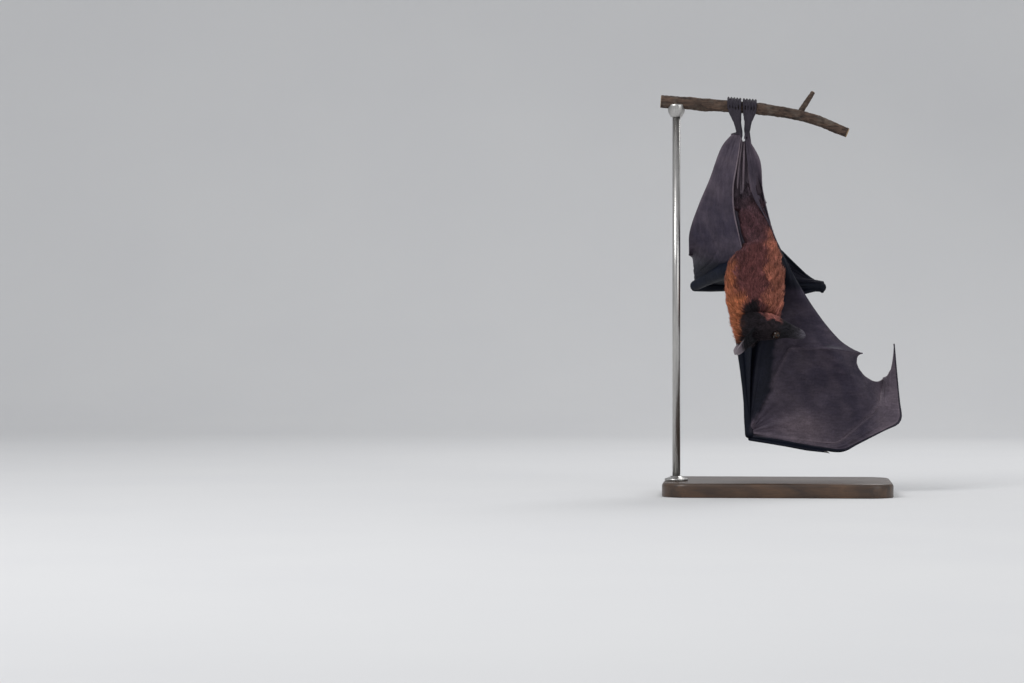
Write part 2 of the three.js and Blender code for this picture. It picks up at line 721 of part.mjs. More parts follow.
// The claws of the thumb and of the second finger.
function addHandClaws(side) {
  const wing = WINGS[side];
  for (const [digit, joints] of [["thumb", wing.thumb], ["finger", wing.fingers[2]]]) {
    const [last, tip] = joints.slice(-2);
    const aim = tip.clone().sub(last).normalize();
    const root = tip.clone().addScaledVector(aim, 2 * GAP);
    const { length, radius, bend } = HAND_CLAW[digit];
    const hook = vec(WING_POSE[side].hook[digit]);
    const solid = claw(root, aim, hook, length, radius, bend);
    place(hanging, `claw_${digit}_${side}`, clear(solid, finger(wing, 3, GAP)), MATERIAL.claw);
  }
}

function addMembranes(side) {
  const wing = WINGS[side];
  const leg = LEGS[side];
  const body = [trunk(GAP), ruff(GAP), headSolid(GAP), thigh(leg, GAP), shin(leg, GAP)];
  const arm = [upperArm(wing, GAP), foreArm(wing, GAP), thumb(wing, GAP)];
  const digits = [2, 3, 4, 5].map((n) => finger(wing, n, GAP));
  const sheets = {
    plagiopatagium: sheet(plagiopatagium(side), 22, 4),
    membrane_4_5: handMembrane(side, 4, { scallop: SCALLOP[side][4], start: 0.06 }),
    membrane_3_4: handMembrane(side, 3, { scallop: SCALLOP[side][3], start: 0.2 }),
    membrane_2_3: sheet(leadingMembrane(side), 4, 1),
    propatagium: sheet(propatagium(side), 8, 3),
  };
  for (const [name, solid] of Object.entries(sheets))
    place(hanging, `${name}_${side}`, clear(solid, ...body, ...arm, ...digits), MATERIAL.membrane);
}

function addLegMembrane() {
  const legs = Object.values(LEGS).flatMap((leg) => [shin(leg, GAP), thigh(leg, GAP)]);
  const others = ["left", "right"].map((side) => sheet(plagiopatagium(side), 22, 4, SKIN + 2 * GAP));
  const solid = clear(sheet(legMembrane(), 6, 2), trunk(GAP), ...legs, ...others);
  place(hanging, "uropatagium", solid, MATERIAL.membrane);
}

function addStand() {
  const { y, z } = rodTop();
  const floor = BASE.height + GAP;
  const hole = cylinder(ROD.x, y, 0, z + GAP, ROD.radius + GAP);
  const foot = cylinder(ROD.x, y, floor, floor + ROD.footHeight, ROD.footRadius, 16);
  const cup = cylinder(ROD.x, y, z - ROD.cupHeight / 2, z + ROD.cupHeight / 2, ROD.cupRadius);
  place(display, "stand_base", base(), MATERIAL.wood);
  place(display, "stand_rod", cylinder(ROD.x, y, floor, z, ROD.radius), MATERIAL.metal);
  place(display, "stand_foot", clear(foot, hole), MATERIAL.metal);
  place(display, "stand_cup", clear(cup, hole, branch(GAP).translate([0, HANG_Y, 0])), MATERIAL.metal);
  place(hanging, "perch", branch(), MATERIAL.bark);
}

addBody();
for (const side of ["left", "right"]) {
  addLeg(side);
  addArm(side);
  addHandClaws(side);
  addMembranes(side);
}
addLegMembrane();
addStand();

export default display;
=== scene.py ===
"""A hanging Indian flying fox on a display stand: skin, coat, claws, eyes, perch, stand, light and camera."""
from math import ceil, cos, pi, radians, sin, sqrt

import bmesh
import bpy
import numpy as np
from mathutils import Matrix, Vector


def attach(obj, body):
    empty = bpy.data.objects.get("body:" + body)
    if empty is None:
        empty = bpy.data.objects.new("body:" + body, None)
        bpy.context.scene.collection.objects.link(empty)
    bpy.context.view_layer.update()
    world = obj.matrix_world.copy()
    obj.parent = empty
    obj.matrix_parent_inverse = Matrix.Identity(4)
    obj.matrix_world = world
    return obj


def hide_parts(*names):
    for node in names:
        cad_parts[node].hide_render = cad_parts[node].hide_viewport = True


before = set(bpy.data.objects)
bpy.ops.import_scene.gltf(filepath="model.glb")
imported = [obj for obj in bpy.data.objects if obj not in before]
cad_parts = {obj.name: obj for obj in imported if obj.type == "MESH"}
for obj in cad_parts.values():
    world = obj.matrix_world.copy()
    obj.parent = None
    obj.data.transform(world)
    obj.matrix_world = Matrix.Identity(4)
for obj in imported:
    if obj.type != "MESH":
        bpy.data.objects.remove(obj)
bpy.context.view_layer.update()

# The bat's own shapes are worked out in millimetres in the hanging bat's frame, and HANG moves them into the
# model's frame. "left" and "right" are the bat's own.
MM = 0.001
HANG = np.array([0.0, -38.0, 0.0])
UP = np.array([0.0, 0.0, 1.0])
SIDES = ("left", "right")

# ---- Skeleton

BACK_TURN = radians(-12)  # how far the shoulders are turned from the picture
LEFT = np.array([cos(BACK_TURN), -sin(BACK_TURN), 0.0])
BELLY = np.array([sin(BACK_TURN), cos(BACK_TURN), 0.0])
HUMERUS, FOREARM, THUMB = 114, 167, 52
FINGER = {2: (78, 22), 3: (120, 88, 112), 4: (113, 70, 66), 5: (121, 54, 54)}
FAN_STEP = 3.6  # from one finger's root to the next
PELVIS, HIP_HALF = np.array([-36.0, -1, 366]), 13
CHEST, SHOULDER_HALF = np.array([-25.0, 0, 294]), 24

# Bones are directions, and the membranes' free edges and the lines behind the legs are points.
POSE = {
    "left": {
        "humerus": (-0.44, 0.76, -0.475), "forearm": (0.096, -0.12, -0.988), "elbow_share": 3 / 4,
        "shoulder": CHEST + LEFT * SHOULDER_HALF, "thumb": (0.3, 0.62, 0.72),
        2: ((0.965, -0.25, -0.165), (0.985, -0.1, -0.12)),
        3: ((0.965, -0.13, -0.155), (0.865, 0.25, 0.43), (-0.06, 0.46, 0.885)),
        4: ((0.975, -0.07, -0.11), (0.74, 0.17, 0.64), (0.14, 0.8, 0.58)),
        5: ((0.42, -0.2, 0.885), (0.93, -0.36, -0.02), (0.79, 0.6, -0.12)),
        "trailing": ((82, 56, 187), (54, 62, 219), (39, 58, 241), (24, 48, 262), (4, 34, 305),
                     (-6, 18, 335), (-13, 2, 358), (-19, -9, 388), (-22, -9, 424)),
        "back_edge": ((-41, -10, 452), (-37, -15, 417), (-30, -20, 378),
                      (-14.5, -10, 352), (-4, -7, 328), (1, -4, 312)),
        "thumb_hook": (0.7, 0.2, -0.5), "finger_hook": (0.1, -0.8, -0.3),
        "hip": PELVIS + LEFT * HIP_HALF, "knee": np.array([-25.0, -5, 384]),
        "ankle": np.array([-38.5, -4, 461]), "grip": -35, "heel": (3, 0, -11),
    },
    "right": {
        "humerus": (-0.515, 0.83, -0.24), "forearm": (0.988, 0.15, -0.01), "elbow_share": 5 / 8,
        "shoulder": CHEST - LEFT * SHOULDER_HALF, "thumb": (-0.93, -0.27, -0.27),
        2: ((-0.715, 0.03, 0.7), (-0.8, 0.05, 0.6)),
        3: ((-0.775, 0.06, 0.62), (-0.35, -0.42, 0.83), (0.22, -0.2, -0.95)),
        4: ((-0.93, 0.02, 0.36), (-0.5, -0.5, 0.7), (0.3, -0.12, -0.95)),
        5: ((-0.978, -0.13, 0.155), (-0.86, -0.32, 0.26), (-0.06, -0.99, 0.03)),
        "trailing": ((-112, 22, 332), (-100, 9, 368), (-86, 3, 400), (-70, -3, 442)),
        "back_edge": ((-46, -15, 455), (-50, -20, 424), (-55.5, -24, 392),
                      (-55, -15, 361), (-50.5, -12, 338), (-45, -11, 314)),
        "thumb_hook": (0.3, 0.6, -0.7), "finger_hook": (0.1, -0.8, -0.3),
        "hip": PELVIS - LEFT * HIP_HALF, "knee": np.array([-53.0, -15, 380]),
        "ankle": np.array([-47.5, -9, 458]), "grip": -54.5, "heel": (-10, 0, -1),
    },
}


def unit(v):
    v = np.asarray(v, float)
    return v / np.linalg.norm(v, axis=-1, keepdims=True)


def with_joints(pose):
    """A side's pose with the places of its joints."""
    elbow = pose["shoulder"] + unit(pose["humerus"]) * HUMERUS
    wrist = elbow + unit(pose["forearm"]) * FOREARM
    digits = {}
    for n, bones in FINGER.items():
        chain = [wrist + UP * FAN_STEP * (n - 3.5)]
        for direction, length in zip(pose[n], bones):
            chain.append(chain[-1] + unit(direction) * length)
        digits[n] = chain
    thumb = [wrist, wrist + unit(pose["thumb"]) * THUMB]
    heel = pose["ankle"] + pose["heel"]
    return {**pose, "elbow": elbow, "wrist": wrist, "digits": digits, "thumb": thumb, "heel": heel}


BAT = {side: with_joints(POSE[side]) for side in SIDES}

# ---- Curves and surfaces


def length_of(v):
    return np.linalg.norm(v, axis=-1)


def laid(way, normal):
    """Directions laid flat on a surface."""
    return unit(way - normal * np.sum(way * normal, 1)[:, None])


def shares(count):
    return np.linspace(0, 1, count)


def around(count):
    """Angles spread evenly over a full turn."""
    return np.linspace(0, 2 * pi, count, endpoint=False)


def smooth(low, high, x):
    t = np.clip((x - low) / (high - low), 0, 1)
    return t * t * (3 - 2 * t)


def bell(x, width):
    return np.exp(-((x / width) ** 2))


def mix(a, b, t):
    t = np.asarray(t)[..., None]
    return a * (1 - t) + b * t


def wave_noise(p, scale, seed):
    """A cheap smooth noise between about -1 and 1, made of a few crossed waves."""
    draw = np.random.default_rng(seed)
    total = np.zeros(len(p))
    for _ in range(6):
        k = draw.normal(size=3) / scale
        total += np.sin(p @ k * 2 * pi + draw.uniform(0, 6.3))
    return total / 3.0


def along(values, t):
    """Reads values spread evenly from t = 0 to t = 1."""
    values = np.asarray(values, float)
    at, marks = np.clip(t, 0, 1) * (len(values) - 1), np.arange(len(values))
    if values.ndim == 1:
        return np.interp(at, marks, values)
    return np.stack([np.interp(at, marks, column) for column in values.T], -1)


def curve(points):
    """A centripetal Catmull-Rom curve as a function of the share of its length."""
    p = np.array(points, float)
    dense = p
    if len(p) > 2:
        p = np.vstack([2 * p[0] - p[1], p, 2 * p[-1] - p[-2]])
        dense = [p[1]]
        for i in range(1, len(p) - 2):
            k = np.cumsum([0, *np.maximum(length_of(np.diff(p[i - 1:i + 3], axis=0)), 1e-6) ** 0.5])
            t = np.linspace(k[1], k[2], 25)[1:, None]

            def between(a, b, low, high):
                return (k[high] - t) / (k[high] - k[low]) * a + (t - k[low]) / (k[high] - k[low]) * b

            a = [between(p[i + j - 1], p[i + j], j, j + 1) for j in range(3)]
            b = [between(a[j], a[j + 1], j, j + 2) for j in range(2)]
            dense.extend(between(*b, 1, 2))
        dense = np.array(dense)
    share = np.concatenate([[0], np.cumsum(length_of(np.diff(dense, axis=0)))])
    share /= share[-1]
    return lambda u: np.stack([np.interp(u, share, column) for column in dense.T], -1)


def rail(*stretches):
    """A line given in stretches (from u, to u, points), so that its landmarks keep their u."""
    lines = [(low, high, curve(points)) for low, high, points in stretches]

    def at(u):
        out = np.zeros(u.shape + (3,))
        for low, high, line in lines:
            inside = (u >= low - 1e-9) & (u <= high + 1e-9)
            out[inside] = line(np.clip((u[inside] - low) / (high - low), 0, 1))
        return out
    return at


def numbered(grid):
    return np.arange(grid.size // 3).reshape(grid.shape[:2])


def quads(*corners):
    return np.stack(corners, -1).reshape(-1, 4).tolist()


def tube_grid(path, radii, sides, rings, side=UP):
    """The rings of a tube. The radii are numbers, or pairs along side and square to it."""
    line = curve(path)
    t = shares(rings + 1)
    tangent = unit(line(np.minimum(t + 0.004, 1)) - line(np.maximum(t - 0.004, 0)))
    side = np.asarray(side, float)
    u = unit(side - tangent * (tangent @ side)[:, None])
    w = np.cross(tangent, u)
    r = along(radii, t).reshape(len(t), -1)
    u, w = (u * r[:, :1])[:, None], (w * r[:, -1:])[:, None]
    angle = around(sides)[:, None]
    return line(t)[:, None] + np.cos(angle) * u + np.sin(angle) * w


def closed_tube(grid, dome=0.0):
    """Vertices and faces of a tube with its ends closed, and pulled out into domes if asked."""
    parts = [grid]
    if dome:
        for end, inner in ((0, 1), (-1, -2)):
            middle = grid[end].mean(0)
            spoke = grid[end] - middle
            height = unit(middle - grid[inner].mean(0)) * (length_of(spoke).mean() * dome)
            cap = np.array([middle + spoke * cos(a) + height * sin(a) for a in (0.5, 1.0, 1.35)])
            parts = parts + [cap] if end else [cap[::-1]] + parts
    grid = np.concatenate(parts)
    index, count = numbered(grid), grid.size // 3
    after = np.roll(index, -1, 1)
    faces = quads(index[:-1], after[:-1], after[1:], index[1:])
    for a, b, c, d in zip(*(row.tolist() for row in (index[0], after[0], index[-1], after[-1]))):
        faces += [[count, b, a], [count + 1, c, d]]
    return np.vstack([grid.reshape(-1, 3), grid[0].mean(0), grid[-1].mean(0)]), faces


def loft(path, radii, dome=0.6, sides=28, rings=36, side=UP):
    return closed_tube(tube_grid(path, radii, sides, rings, side), dome)


def grid_normals(grid):
    normal = np.cross(np.gradient(grid, axis=0), np.gradient(grid, axis=1))
    return normal / np.maximum(length_of(normal), 1e-9)[..., None]


def closed_sheet(grid, half):
    """Vertices and faces of a sheet over a grid of points. half is half its thickness."""
    push = grid_normals(grid) * np.broadcast_to(half, grid.shape[:2])[..., None]
    index, count = numbered(grid), grid.size // 3
    a, b, c, d = index[:-1, :-1], index[1:, :-1], index[1:, 1:], index[:-1, 1:]
    rim = np.concatenate([index[0], index[1:, -1], index[-1, -2::-1], index[-2:0:-1, 0]])
    after = np.roll(rim, -1)
    faces = quads(a, b, c, d) + quads(*(x + count for x in (a, d, c, b)))
    verts = np.vstack([(grid + push).reshape(-1, 3), (grid - push).reshape(-1, 3)])
    return verts, faces + quads(after, rim, rim + count, after + count)


def relax(grid, rounds, held=()):
    """Draws a sheet taut between its four fixed edges and the rows that are held."""
    grid = grid.copy()
    rows = np.setdiff1d(np.arange(1, len(grid) - 1), held)
    for _ in range(rounds):
        above, below = grid[rows - 1, 1:-1], grid[rows + 1, 1:-1]
        grid[rows, 1:-1] = (above + below + grid[rows, :-2] + grid[rows, 2:]) / 4
    return grid


def join(shapes):
    """Joins closed shapes, each (vertices, faces), into one."""
    verts, faces, count = [], [], 0
    for more, more_faces in shapes:
        verts.append(more)
        faces += [[i + count for i in face] for face in more_faces]
        count += len(more)
    return np.vstack(verts), faces


def nodes_named(*starts):
    return [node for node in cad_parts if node.startswith(starts)]


def make_object(name, verts, faces):
    mesh = bpy.data.meshes.new(name)
    mesh.from_pydata(np.asarray(verts).tolist(), [], faces)
    mesh.polygons.foreach_set("use_smooth", np.ones(len(faces), bool))
    made = bpy.data.objects.new(name, mesh)
    bpy.context.collection.objects.link(made)
    return made


def add_layer(mesh, name, values):
    """Keeps a number or a colour for every vertex."""
    values = np.asarray(values, np.float32)
    if values.ndim == 1:
        mesh.attributes.new(name, "FLOAT", "POINT").data.foreach_set("value", values)
    else:
        rgba = np.column_stack([values, np.ones(len(values), np.float32)])
        mesh.attributes.new(name, "FLOAT_COLOR", "POINT").data.foreach_set("color", rgba.ravel())


def piece(name, shape, slot, nodes=(), move=HANG, **layers):
    """A piece of the model from closed shapes in millimetres, which stands for the nodes, if any."""
    verts, faces = shape
    made = make_object(name, (verts + move) * MM, faces)
    if nodes:
        mesh = bmesh.new()
        mesh.from_mesh(made.data)
        bmesh.ops.recalc_face_normals(mesh, faces=mesh.faces)
        mesh.to_mesh(made.data)
        mesh.free()
        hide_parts(*nodes)
    for key, values in layers.items():
        add_layer(made.data, key, values)
    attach(made, "root")
    return made


def melt(name, shapes, voxel, smoothing):
    """Melts overlapping closed shapes into one surface and smooths it."""
    made = make_object(name, *join(shapes))
    remesh = made.modifiers.new("melt", "REMESH")
    remesh.mode = "VOXEL"
    remesh.voxel_size = voxel
    made.modifiers.new("soften", "SMOOTH").iterations = smoothing
    mesh = bpy.data.meshes.new_from_object(made.evaluated_get(bpy.context.evaluated_depsgraph_get()))
    points = np.empty(len(mesh.vertices) * 3)
    mesh.vertices.foreach_get("co", points)
    bpy.data.objects.remove(made)
    return points.reshape(-1, 3), [list(polygon.vertices) for polygon in mesh.polygons]

# ---- Colours and the coat's markings


def palette(**named):
    return {key: np.array(value) for key, value in named.items()}


# The mantle and right tones are the mantle under painted light on its flanks and lobes; the middle tone is
# the mantle under painted shade down its middle.
FUR = palette(
    rump=(0.048, 0.034, 0.044), back=(0.080, 0.036, 0.042), mantle=(0.355, 0.120, 0.055),
    right=(0.350, 0.130, 0.085), middle=(0.122, 0.044, 0.043), throat=(0.090, 0.034, 0.034),
    head=(0.0085, 0.0080, 0.0105), muzzle=(0.030, 0.027, 0.033))
# The darkest tone is both the bare skin of the upper arms and the colour of painted shade on the wings. The
# pale tone colours the painted highlights on the wings, shins and folds of skin, and the wings' paler
# patches.
SKIN = palette(
    wing=(0.034, 0.028, 0.044), pale=(0.158, 0.124, 0.146), dark=(0.0034, 0.0050, 0.0112),
    muzzle=(0.066, 0.060, 0.074), ear=(0.110, 0.088, 0.105), ear_rim=(0.245, 0.215, 0.232),
    foot=(0.029, 0.025, 0.033))
MANTLE_BELOW = 312  # the pieces of coat whose middle is lower than this are the mantle's
# The dark wedge of the nape between the mantle's two lobes, as its left and right edges by height.
WEDGE = {"height": (176, 200, 211, 220, 228, 236, 245, 252),
         "left": (-50, -46, -44.5, -44, -44, -42, -39, -35), "right": (60, 50, 20, -4, -15, -20.5, -28, -32)}


def nape_dark(p):
    """1 in the dark wedge that widens from the nape into the head, and 0 on the lobes beside it."""
    x = p[:, 0] + 2.5 * wave_noise(p, 16, 5)
    z = p[:, 2] + 3 * wave_noise(p, 22, 6)
    low, high = (np.interp(z, WEDGE["height"], WEDGE[edge]) for edge in SIDES)
    return smooth(-2.5, 3, x - low) * smooth(-2.5, 3, high - x) * smooth(256, 249, z)


def coat_colour(p):
    """The colour of the coat at points in the hanging frame."""
    x, y, z = p.T
    wobble = wave_noise(p, 30, 3)
    dorsal = smooth(12, -12, y - (x + 28) * 0.2)
    colour = mix(FUR["rump"], FUR["back"], smooth(380, 352, z + 5 * wobble))
    # The mantle's tawny colour is its own; painted light makes it brightest on its flanks and lobes, and
    # painted shade darkens a band down its middle.
    flank = smooth(0.5, 0.88, np.abs(x + 33 + 2 * wobble) / 27) * (0.84 + 0.16 * wobble)
    lobe = smooth(262, 246, z) * smooth(-36, -44, x)
    painted_light = np.clip(np.maximum(flank, lobe), 0, 1) * dorsal + 0.45 * (1 - dorsal)
    flanks = mix(FUR["mantle"], FUR["right"], smooth(-36, -6, x))
    start = np.clip(z - 0.8 * (x + 36), 0, 420)
    colour = mix(colour, mix(FUR["middle"], flanks, painted_light), smooth(328, 296, start + 6 * wobble))
    colour = mix(colour, FUR["middle"] * 1.2, 0.75 * smooth(240, 224, z) * smooth(-28, -12, x))
    colour = mix(colour, FUR["throat"], 0.8 * smooth(6, 20, y) * smooth(250, 225, z))
    return mix(colour, FUR["head"], nape_dark(p) * 0.97)

# ---- Trunk, thighs and upper arms


TRUNK_AXIS = [(-39, -4, 392), (-37, -3, 374), (-33, -1, 356), (-27.5, 0, 338), (-22.5, 0, 320),
              (-24, 0, 302), (-27.5, 0, 284), (-29, 0, 265), (-28.5, 0, 246)]
TRUNK_RADII = [(8, 8), (15.5, 14), (18, 17.5), (20.3, 21), (21.5, 24), (29.5, 29), (37, 33.5), (38, 35),
               (36.5, 34)]
RUFF_AXIS = [(-28.5, 0, 248), (-29.5, 0, 232), (-32, 0, 216), (-36, 1, 199)]
RUFF_RADII = [(36.5, 34), (35, 32.5), (31, 29), (25.5, 24), (16, 14)]


def thinned(radii, *depths):
    """Radii less the depth of the coat, which changes evenly along them."""
    return np.array(radii) - along(depths, shares(len(radii)))[:, None]


def torso_shapes():
    yield loft(TRUNK_AXIS, thinned(TRUNK_RADII, 2, 2, 2.5, 3.2, 3.6), side=LEFT)
    yield loft(RUFF_AXIS, thinned(RUFF_RADII, 3.6, 4, 3.5), side=LEFT)
    for bat in BAT.values():
        yield loft([mix(bat["shoulder"], bat["elbow"], 0.1), bat["elbow"]],
                   [7, 10, 9.6, 8.4, 7.4, 6.8], 0.9)
        yield loft([bat["hip"], bat["knee"]], np.array([11, 10.5, 9, 7]) - 3.6, 0.9)


torso_verts, torso_faces = melt("torso", torso_shapes(), voxel=1.35, smoothing=14)

# ---- Head

HEAD_NOSE, HEAD_LENGTH = np.array([34.5, -15.0, 202.0]), 82
HEAD_PITCH, HEAD_YAW = radians(-13), radians(4)
FORWARD = np.array([cos(HEAD_PITCH) * cos(HEAD_YAW),
                    cos(HEAD_PITCH) * sin(HEAD_YAW), sin(HEAD_PITCH)])
NEAR = np.array([sin(HEAD_YAW), -cos(HEAD_YAW), 0.0])
CROWN = np.cross(FORWARD, NEAR)
# The way back from the nose, then half the width, the height to the crown and the depth to the jaw.
HEAD_STATIONS = np.array([
    (0, 3.2, 2.6, 2.6), (2.5, 5.8, 4.8, 5.6), (8, 7.6, 6.2, 8.0), (18, 8.6, 7.4, 10.6), (28, 10.4, 9.8, 13.6),
    (37, 14.6, 13.6, 17.0), (46, 18.0, 16.8, 19.0), (57, 19.8, 18.4, 19.2), (68, 18.6, 17.4, 17.6),
    (77, 13.6, 12.6, 13.4), (82, 6.5, 6.0, 6.5)])
HEAD_COAT = [0.3, 0.7, 1.1, 1.6, 2.2, 2.4]  # depth of the coat from nose to nape
EYE = {"back": 36.5, "out": 11.4, "up": 6.4, "radius": 5.2, "half_width": 3.8, "half_height": 3.0}
EAR = {"back": 62, "out": 13, "up": 11, "length": 38, "half_width": 10.5, "cup": 7, "spread": 1.15}


def on_head(back, out, up):
    back, out, up = (np.asarray(v, float)[..., None] for v in (back, out, up))
    return HEAD_NOSE - FORWARD * back + NEAR * out + CROWN * up


def head_coordinates(p):
    q = p - HEAD_NOSE
    return -(q @ FORWARD), q @ NEAR, q @ CROWN


def root_of(feature, sign):
    """The middle of an eye or the root of an ear, on the near side (1) or the far side (-1)."""
    return on_head(feature["back"], sign * feature["out"], feature["up"])


def gaze_of(sign):
    return unit(NEAR * sign * 0.86 + FORWARD * 0.42 + CROWN * 0.12)


def head_profile(back):
    """Half the width, the height to the crown and the depth to the jaw, smoothed over the stations."""
    profile = []
    for column in HEAD_STATIONS.T[1:]:
        dense = curve(np.stack([HEAD_STATIONS[:, 0], column, 0 * column], 1))(shares(400))
        profile.append(np.interp(back, dense[:, 0], dense[:, 1]))
    return profile


def head_grid():
    t = shares(120)
    back = HEAD_LENGTH * (0.35 * t + 0.65 * t ** 1.6)  # closest together at the nose
    reaches = (reach - along(HEAD_COAT, back / HEAD_LENGTH) for reach in head_profile(back))
    wide, up, down = (reach[:, None] for reach in reaches)
    turn = around(112)  # and the rings are a little fuller than ellipses
    out, rise = (np.sign(x) * np.abs(x) ** 0.94 for x in (np.cos(turn), np.sin(turn)))
    return on_head(back[:, None], out * wide, rise * np.where(rise > 0, up, down))


def carve_head(p, normal):
    """Adds the nostrils, the lips, the brow, the eye sockets and the lids to points of the head."""
    back, out, up = head_coordinates(p)
    side = np.abs(out)
    nostril = np.sqrt((back - 1.6) ** 2 + (side - 3.3) ** 2 + (up - 1.2) ** 2)
    push = 1.1 * bell(nostril, 2.4) - 2.6 * bell(nostril, 1.15)
    push -= 0.8 * bell(side, 0.9) * smooth(5, 1, back) * smooth(-3.5, 0, up)
    lip = -1.6 - 0.075 * back + 1.2 * smooth(22, 31, back)
    push -= 0.95 * bell(up - lip, 0.55) * smooth(33, 28, back) * smooth(0.5, 2.0, back)
    push += 0.45 * bell(up - lip - 1.6, 1.0) * smooth(33, 24, back)
    push += 0.8 * bell(back - 33, 6) * bell(up - 10.5, 3.0)
    p = p + normal * push[:, None]
    ball, rim = EYE["radius"], EYE["radius"] + 4.0
    for sign in (1, -1):
        centre, gaze = root_of(EYE, sign), gaze_of(sign)
        away = p - centre
        far = length_of(away)
        front = unit(FORWARD - gaze * (FORWARD @ gaze))
        over = np.cross(gaze, front)
        opening = np.hypot(away @ front / EYE["half_width"], away @ over / EYE["half_height"])
        lid = np.maximum(far, ball + 0.55 + 0.5 * bell(opening - 1.15, 0.16))
        reach = np.where(opening < 1, ball - 0.9, lid)
        share = np.where(opening < 1, 1, smooth(rim, ball + 1.2, far)) * (far < rim) * (away @ gaze > -1)
        p = mix(p, centre + away * (reach / far)[:, None], share)
    return p


def head_shape():
    rings = head_grid()
    p, faces = closed_tube(rings)
    outward = np.zeros_like(p)
    outward[:-2] = grid_normals(np.concatenate([rings, rings[:, :1]], 1))[:, :-1].reshape(-1, 3)
    middle = on_head(np.clip(head_coordinates(p)[0], 6, 76), 0, 0)
    outward *= np.sign(np.sum(outward * (p - middle), 1))[:, None]
    return carve_head(p, outward), faces


head_verts, head_faces = head_shape()


def ear_grid(sign):
    axis = unit(FORWARD * -0.52 + NEAR * sign * 0.42 + CROWN * 0.74)
    across = NEAR * sign - FORWARD * 0.6
    across = unit(across - axis * (across @ axis))
    hollow = unit(np.cross(axis, across))
    hollow = -hollow * np.sign(hollow @ FORWARD)
    s, t = shares(44)[:, None], shares(30)
    width = EAR["half_width"] * np.sqrt(np.maximum(0, 1 - ((s - 0.32) / 0.74) ** 2)) + 0.9
    turn = (t * 2 - 1) * EAR["spread"]
    depth = np.cos(turn) * EAR["cup"] * (1 - 0.75 * s) - EAR["cup"] * 0.4
    depth = depth + 0.22 * np.sin(s * 46) * smooth(0.1, 0.3, s) * smooth(0.95, 0.6, s)
    sideways = np.sin(turn) * width / sin(EAR["spread"])
    return (root_of(EAR, sign) + axis * (s * EAR["length"])[..., None] + across * sideways[..., None]
            + hollow * depth[..., None])

# ---- Wings


DIGIT_RADII = {
    2: [2.6, 2.0, 1.7, 1.9, 1.3],
    3: [3.0, 2.2, 2.0, 2.5, 1.7, 1.5, 1.9, 1.3, 1.1, 1.1],
    4: [2.8, 2.1, 1.9, 2.4, 1.6, 1.4, 1.7, 1.2, 1.1],
    5: [3.0, 2.2, 2.0, 2.4, 1.6, 1.4, 1.6, 1.2, 1.1],
}
FOREARM_RADII = [7.6, 7.8, 7.0, 6.0, 5.0, 4.4, 4.4, 5.8, 6.4]
THUMB_RADII = [3.5, 2.7, 2.3, 2.7, 2.1]
SHEET_HALF = 0.45  # half the thickness of a membrane
SCALLOP = {"left": {4: 0.17, 3: 0.07}, "right": {4: 0.22, 3: 0.12}}  # dip of the edge beyond a finger
WRIST_END = 0.99


def body_rail(bat):
    """The body side of the large membrane: over the back of the leg, down the back, then along the arm."""
    armpit = mix(bat["shoulder"], bat["elbow"], 0.15)
    share = bat["elbow_share"]
    return rail((0, 1 / 2, [*bat["back_edge"], armpit]), (1 / 2, share, [armpit, bat["elbow"]]),
                (share, 1, [bat["elbow"], bat["wrist"]]))


def free_rail(bat):
    root, knuckle, joint, tip = bat["digits"][5]
    return rail((0, 1 / 2, [bat["heel"], *bat["trailing"][::-1], tip]), (1 / 2, 5 / 8, [tip, joint]),
                (5 / 8, 3 / 4, [joint, knuckle]), (3 / 4, 1, [knuckle, root]))


def digit_rail(chain):
    return rail((0, 0.4, chain[:2]), (0.4, 0.7, chain[1:3]), (0.7, 1, chain[2:]))


def folds(grid, amplitude, counts, seed):
    """Presses soft pleats into a sheet. They run along u, fade at both side edges and wander a little."""
    u, v = np.meshgrid(*(shares(n) for n in grid.shape[:2]), indexing="ij")
    draw = np.random.default_rng(seed)
    rise = np.zeros(u.shape)
    for count in counts:
        wander = draw.uniform(0.02, 0.05) * np.sin(2 * pi * (u * draw.uniform(0.6, 1.6) + draw.uniform()))
        rise += np.sin(2 * pi * (count * (v + wander) + draw.uniform())) / sqrt(count)
    rise *= np.sin(pi * v) ** 0.6 * (0.85 - 0.3 * u)
    return grid + grid_normals(grid) * (amplitude * rise / sqrt(len(counts)))[..., None]


def web_half(*sides):
    """Half the thickness of a membrane that swells into a bone at a distance, of a radius, on each side."""
    half = SHEET_HALF
    for distance, radius in sides:
        half = half + (radius * 0.75 - SHEET_HALF) * bell(distance, 1.5 * radius)
    return half


# Each membrane gives its grid, half its thickness, and how much painted highlight pales it beside its bones
# and at its edge.


def large_membrane(side):
    bat = BAT[side]
    u = shares(110)
    w = np.where(u < 0.75, u, 0.75 + (WRIST_END - 0.75) * (u - 0.75) * 4)
    a, b = body_rail(bat)(w)[:, None], free_rail(bat)(w)[:, None]
    elbow_row = np.argmin(np.abs(w - bat["elbow_share"]))
    grid = relax(mix(a, b, shares(56)), 90, [elbow_row] if side == "right" else [])
    grid = folds(grid, 1.5, (3, 5, 8, 13), {"left": 11, "right": 12}[side])
    near, far = length_of(grid - a), length_of(grid - b)
    digit = np.where(w < 0.5, 0.6, along(DIGIT_RADII[5], 2 - 2 * w))[:, None]
    # Painted highlight pales the sheet along its free edge nearer the heel.
    return grid, web_half((near, 1.2), (far, digit)), 0.25 * bell(far, 3.2) * smooth(0.5, 0.3, w)[:, None]


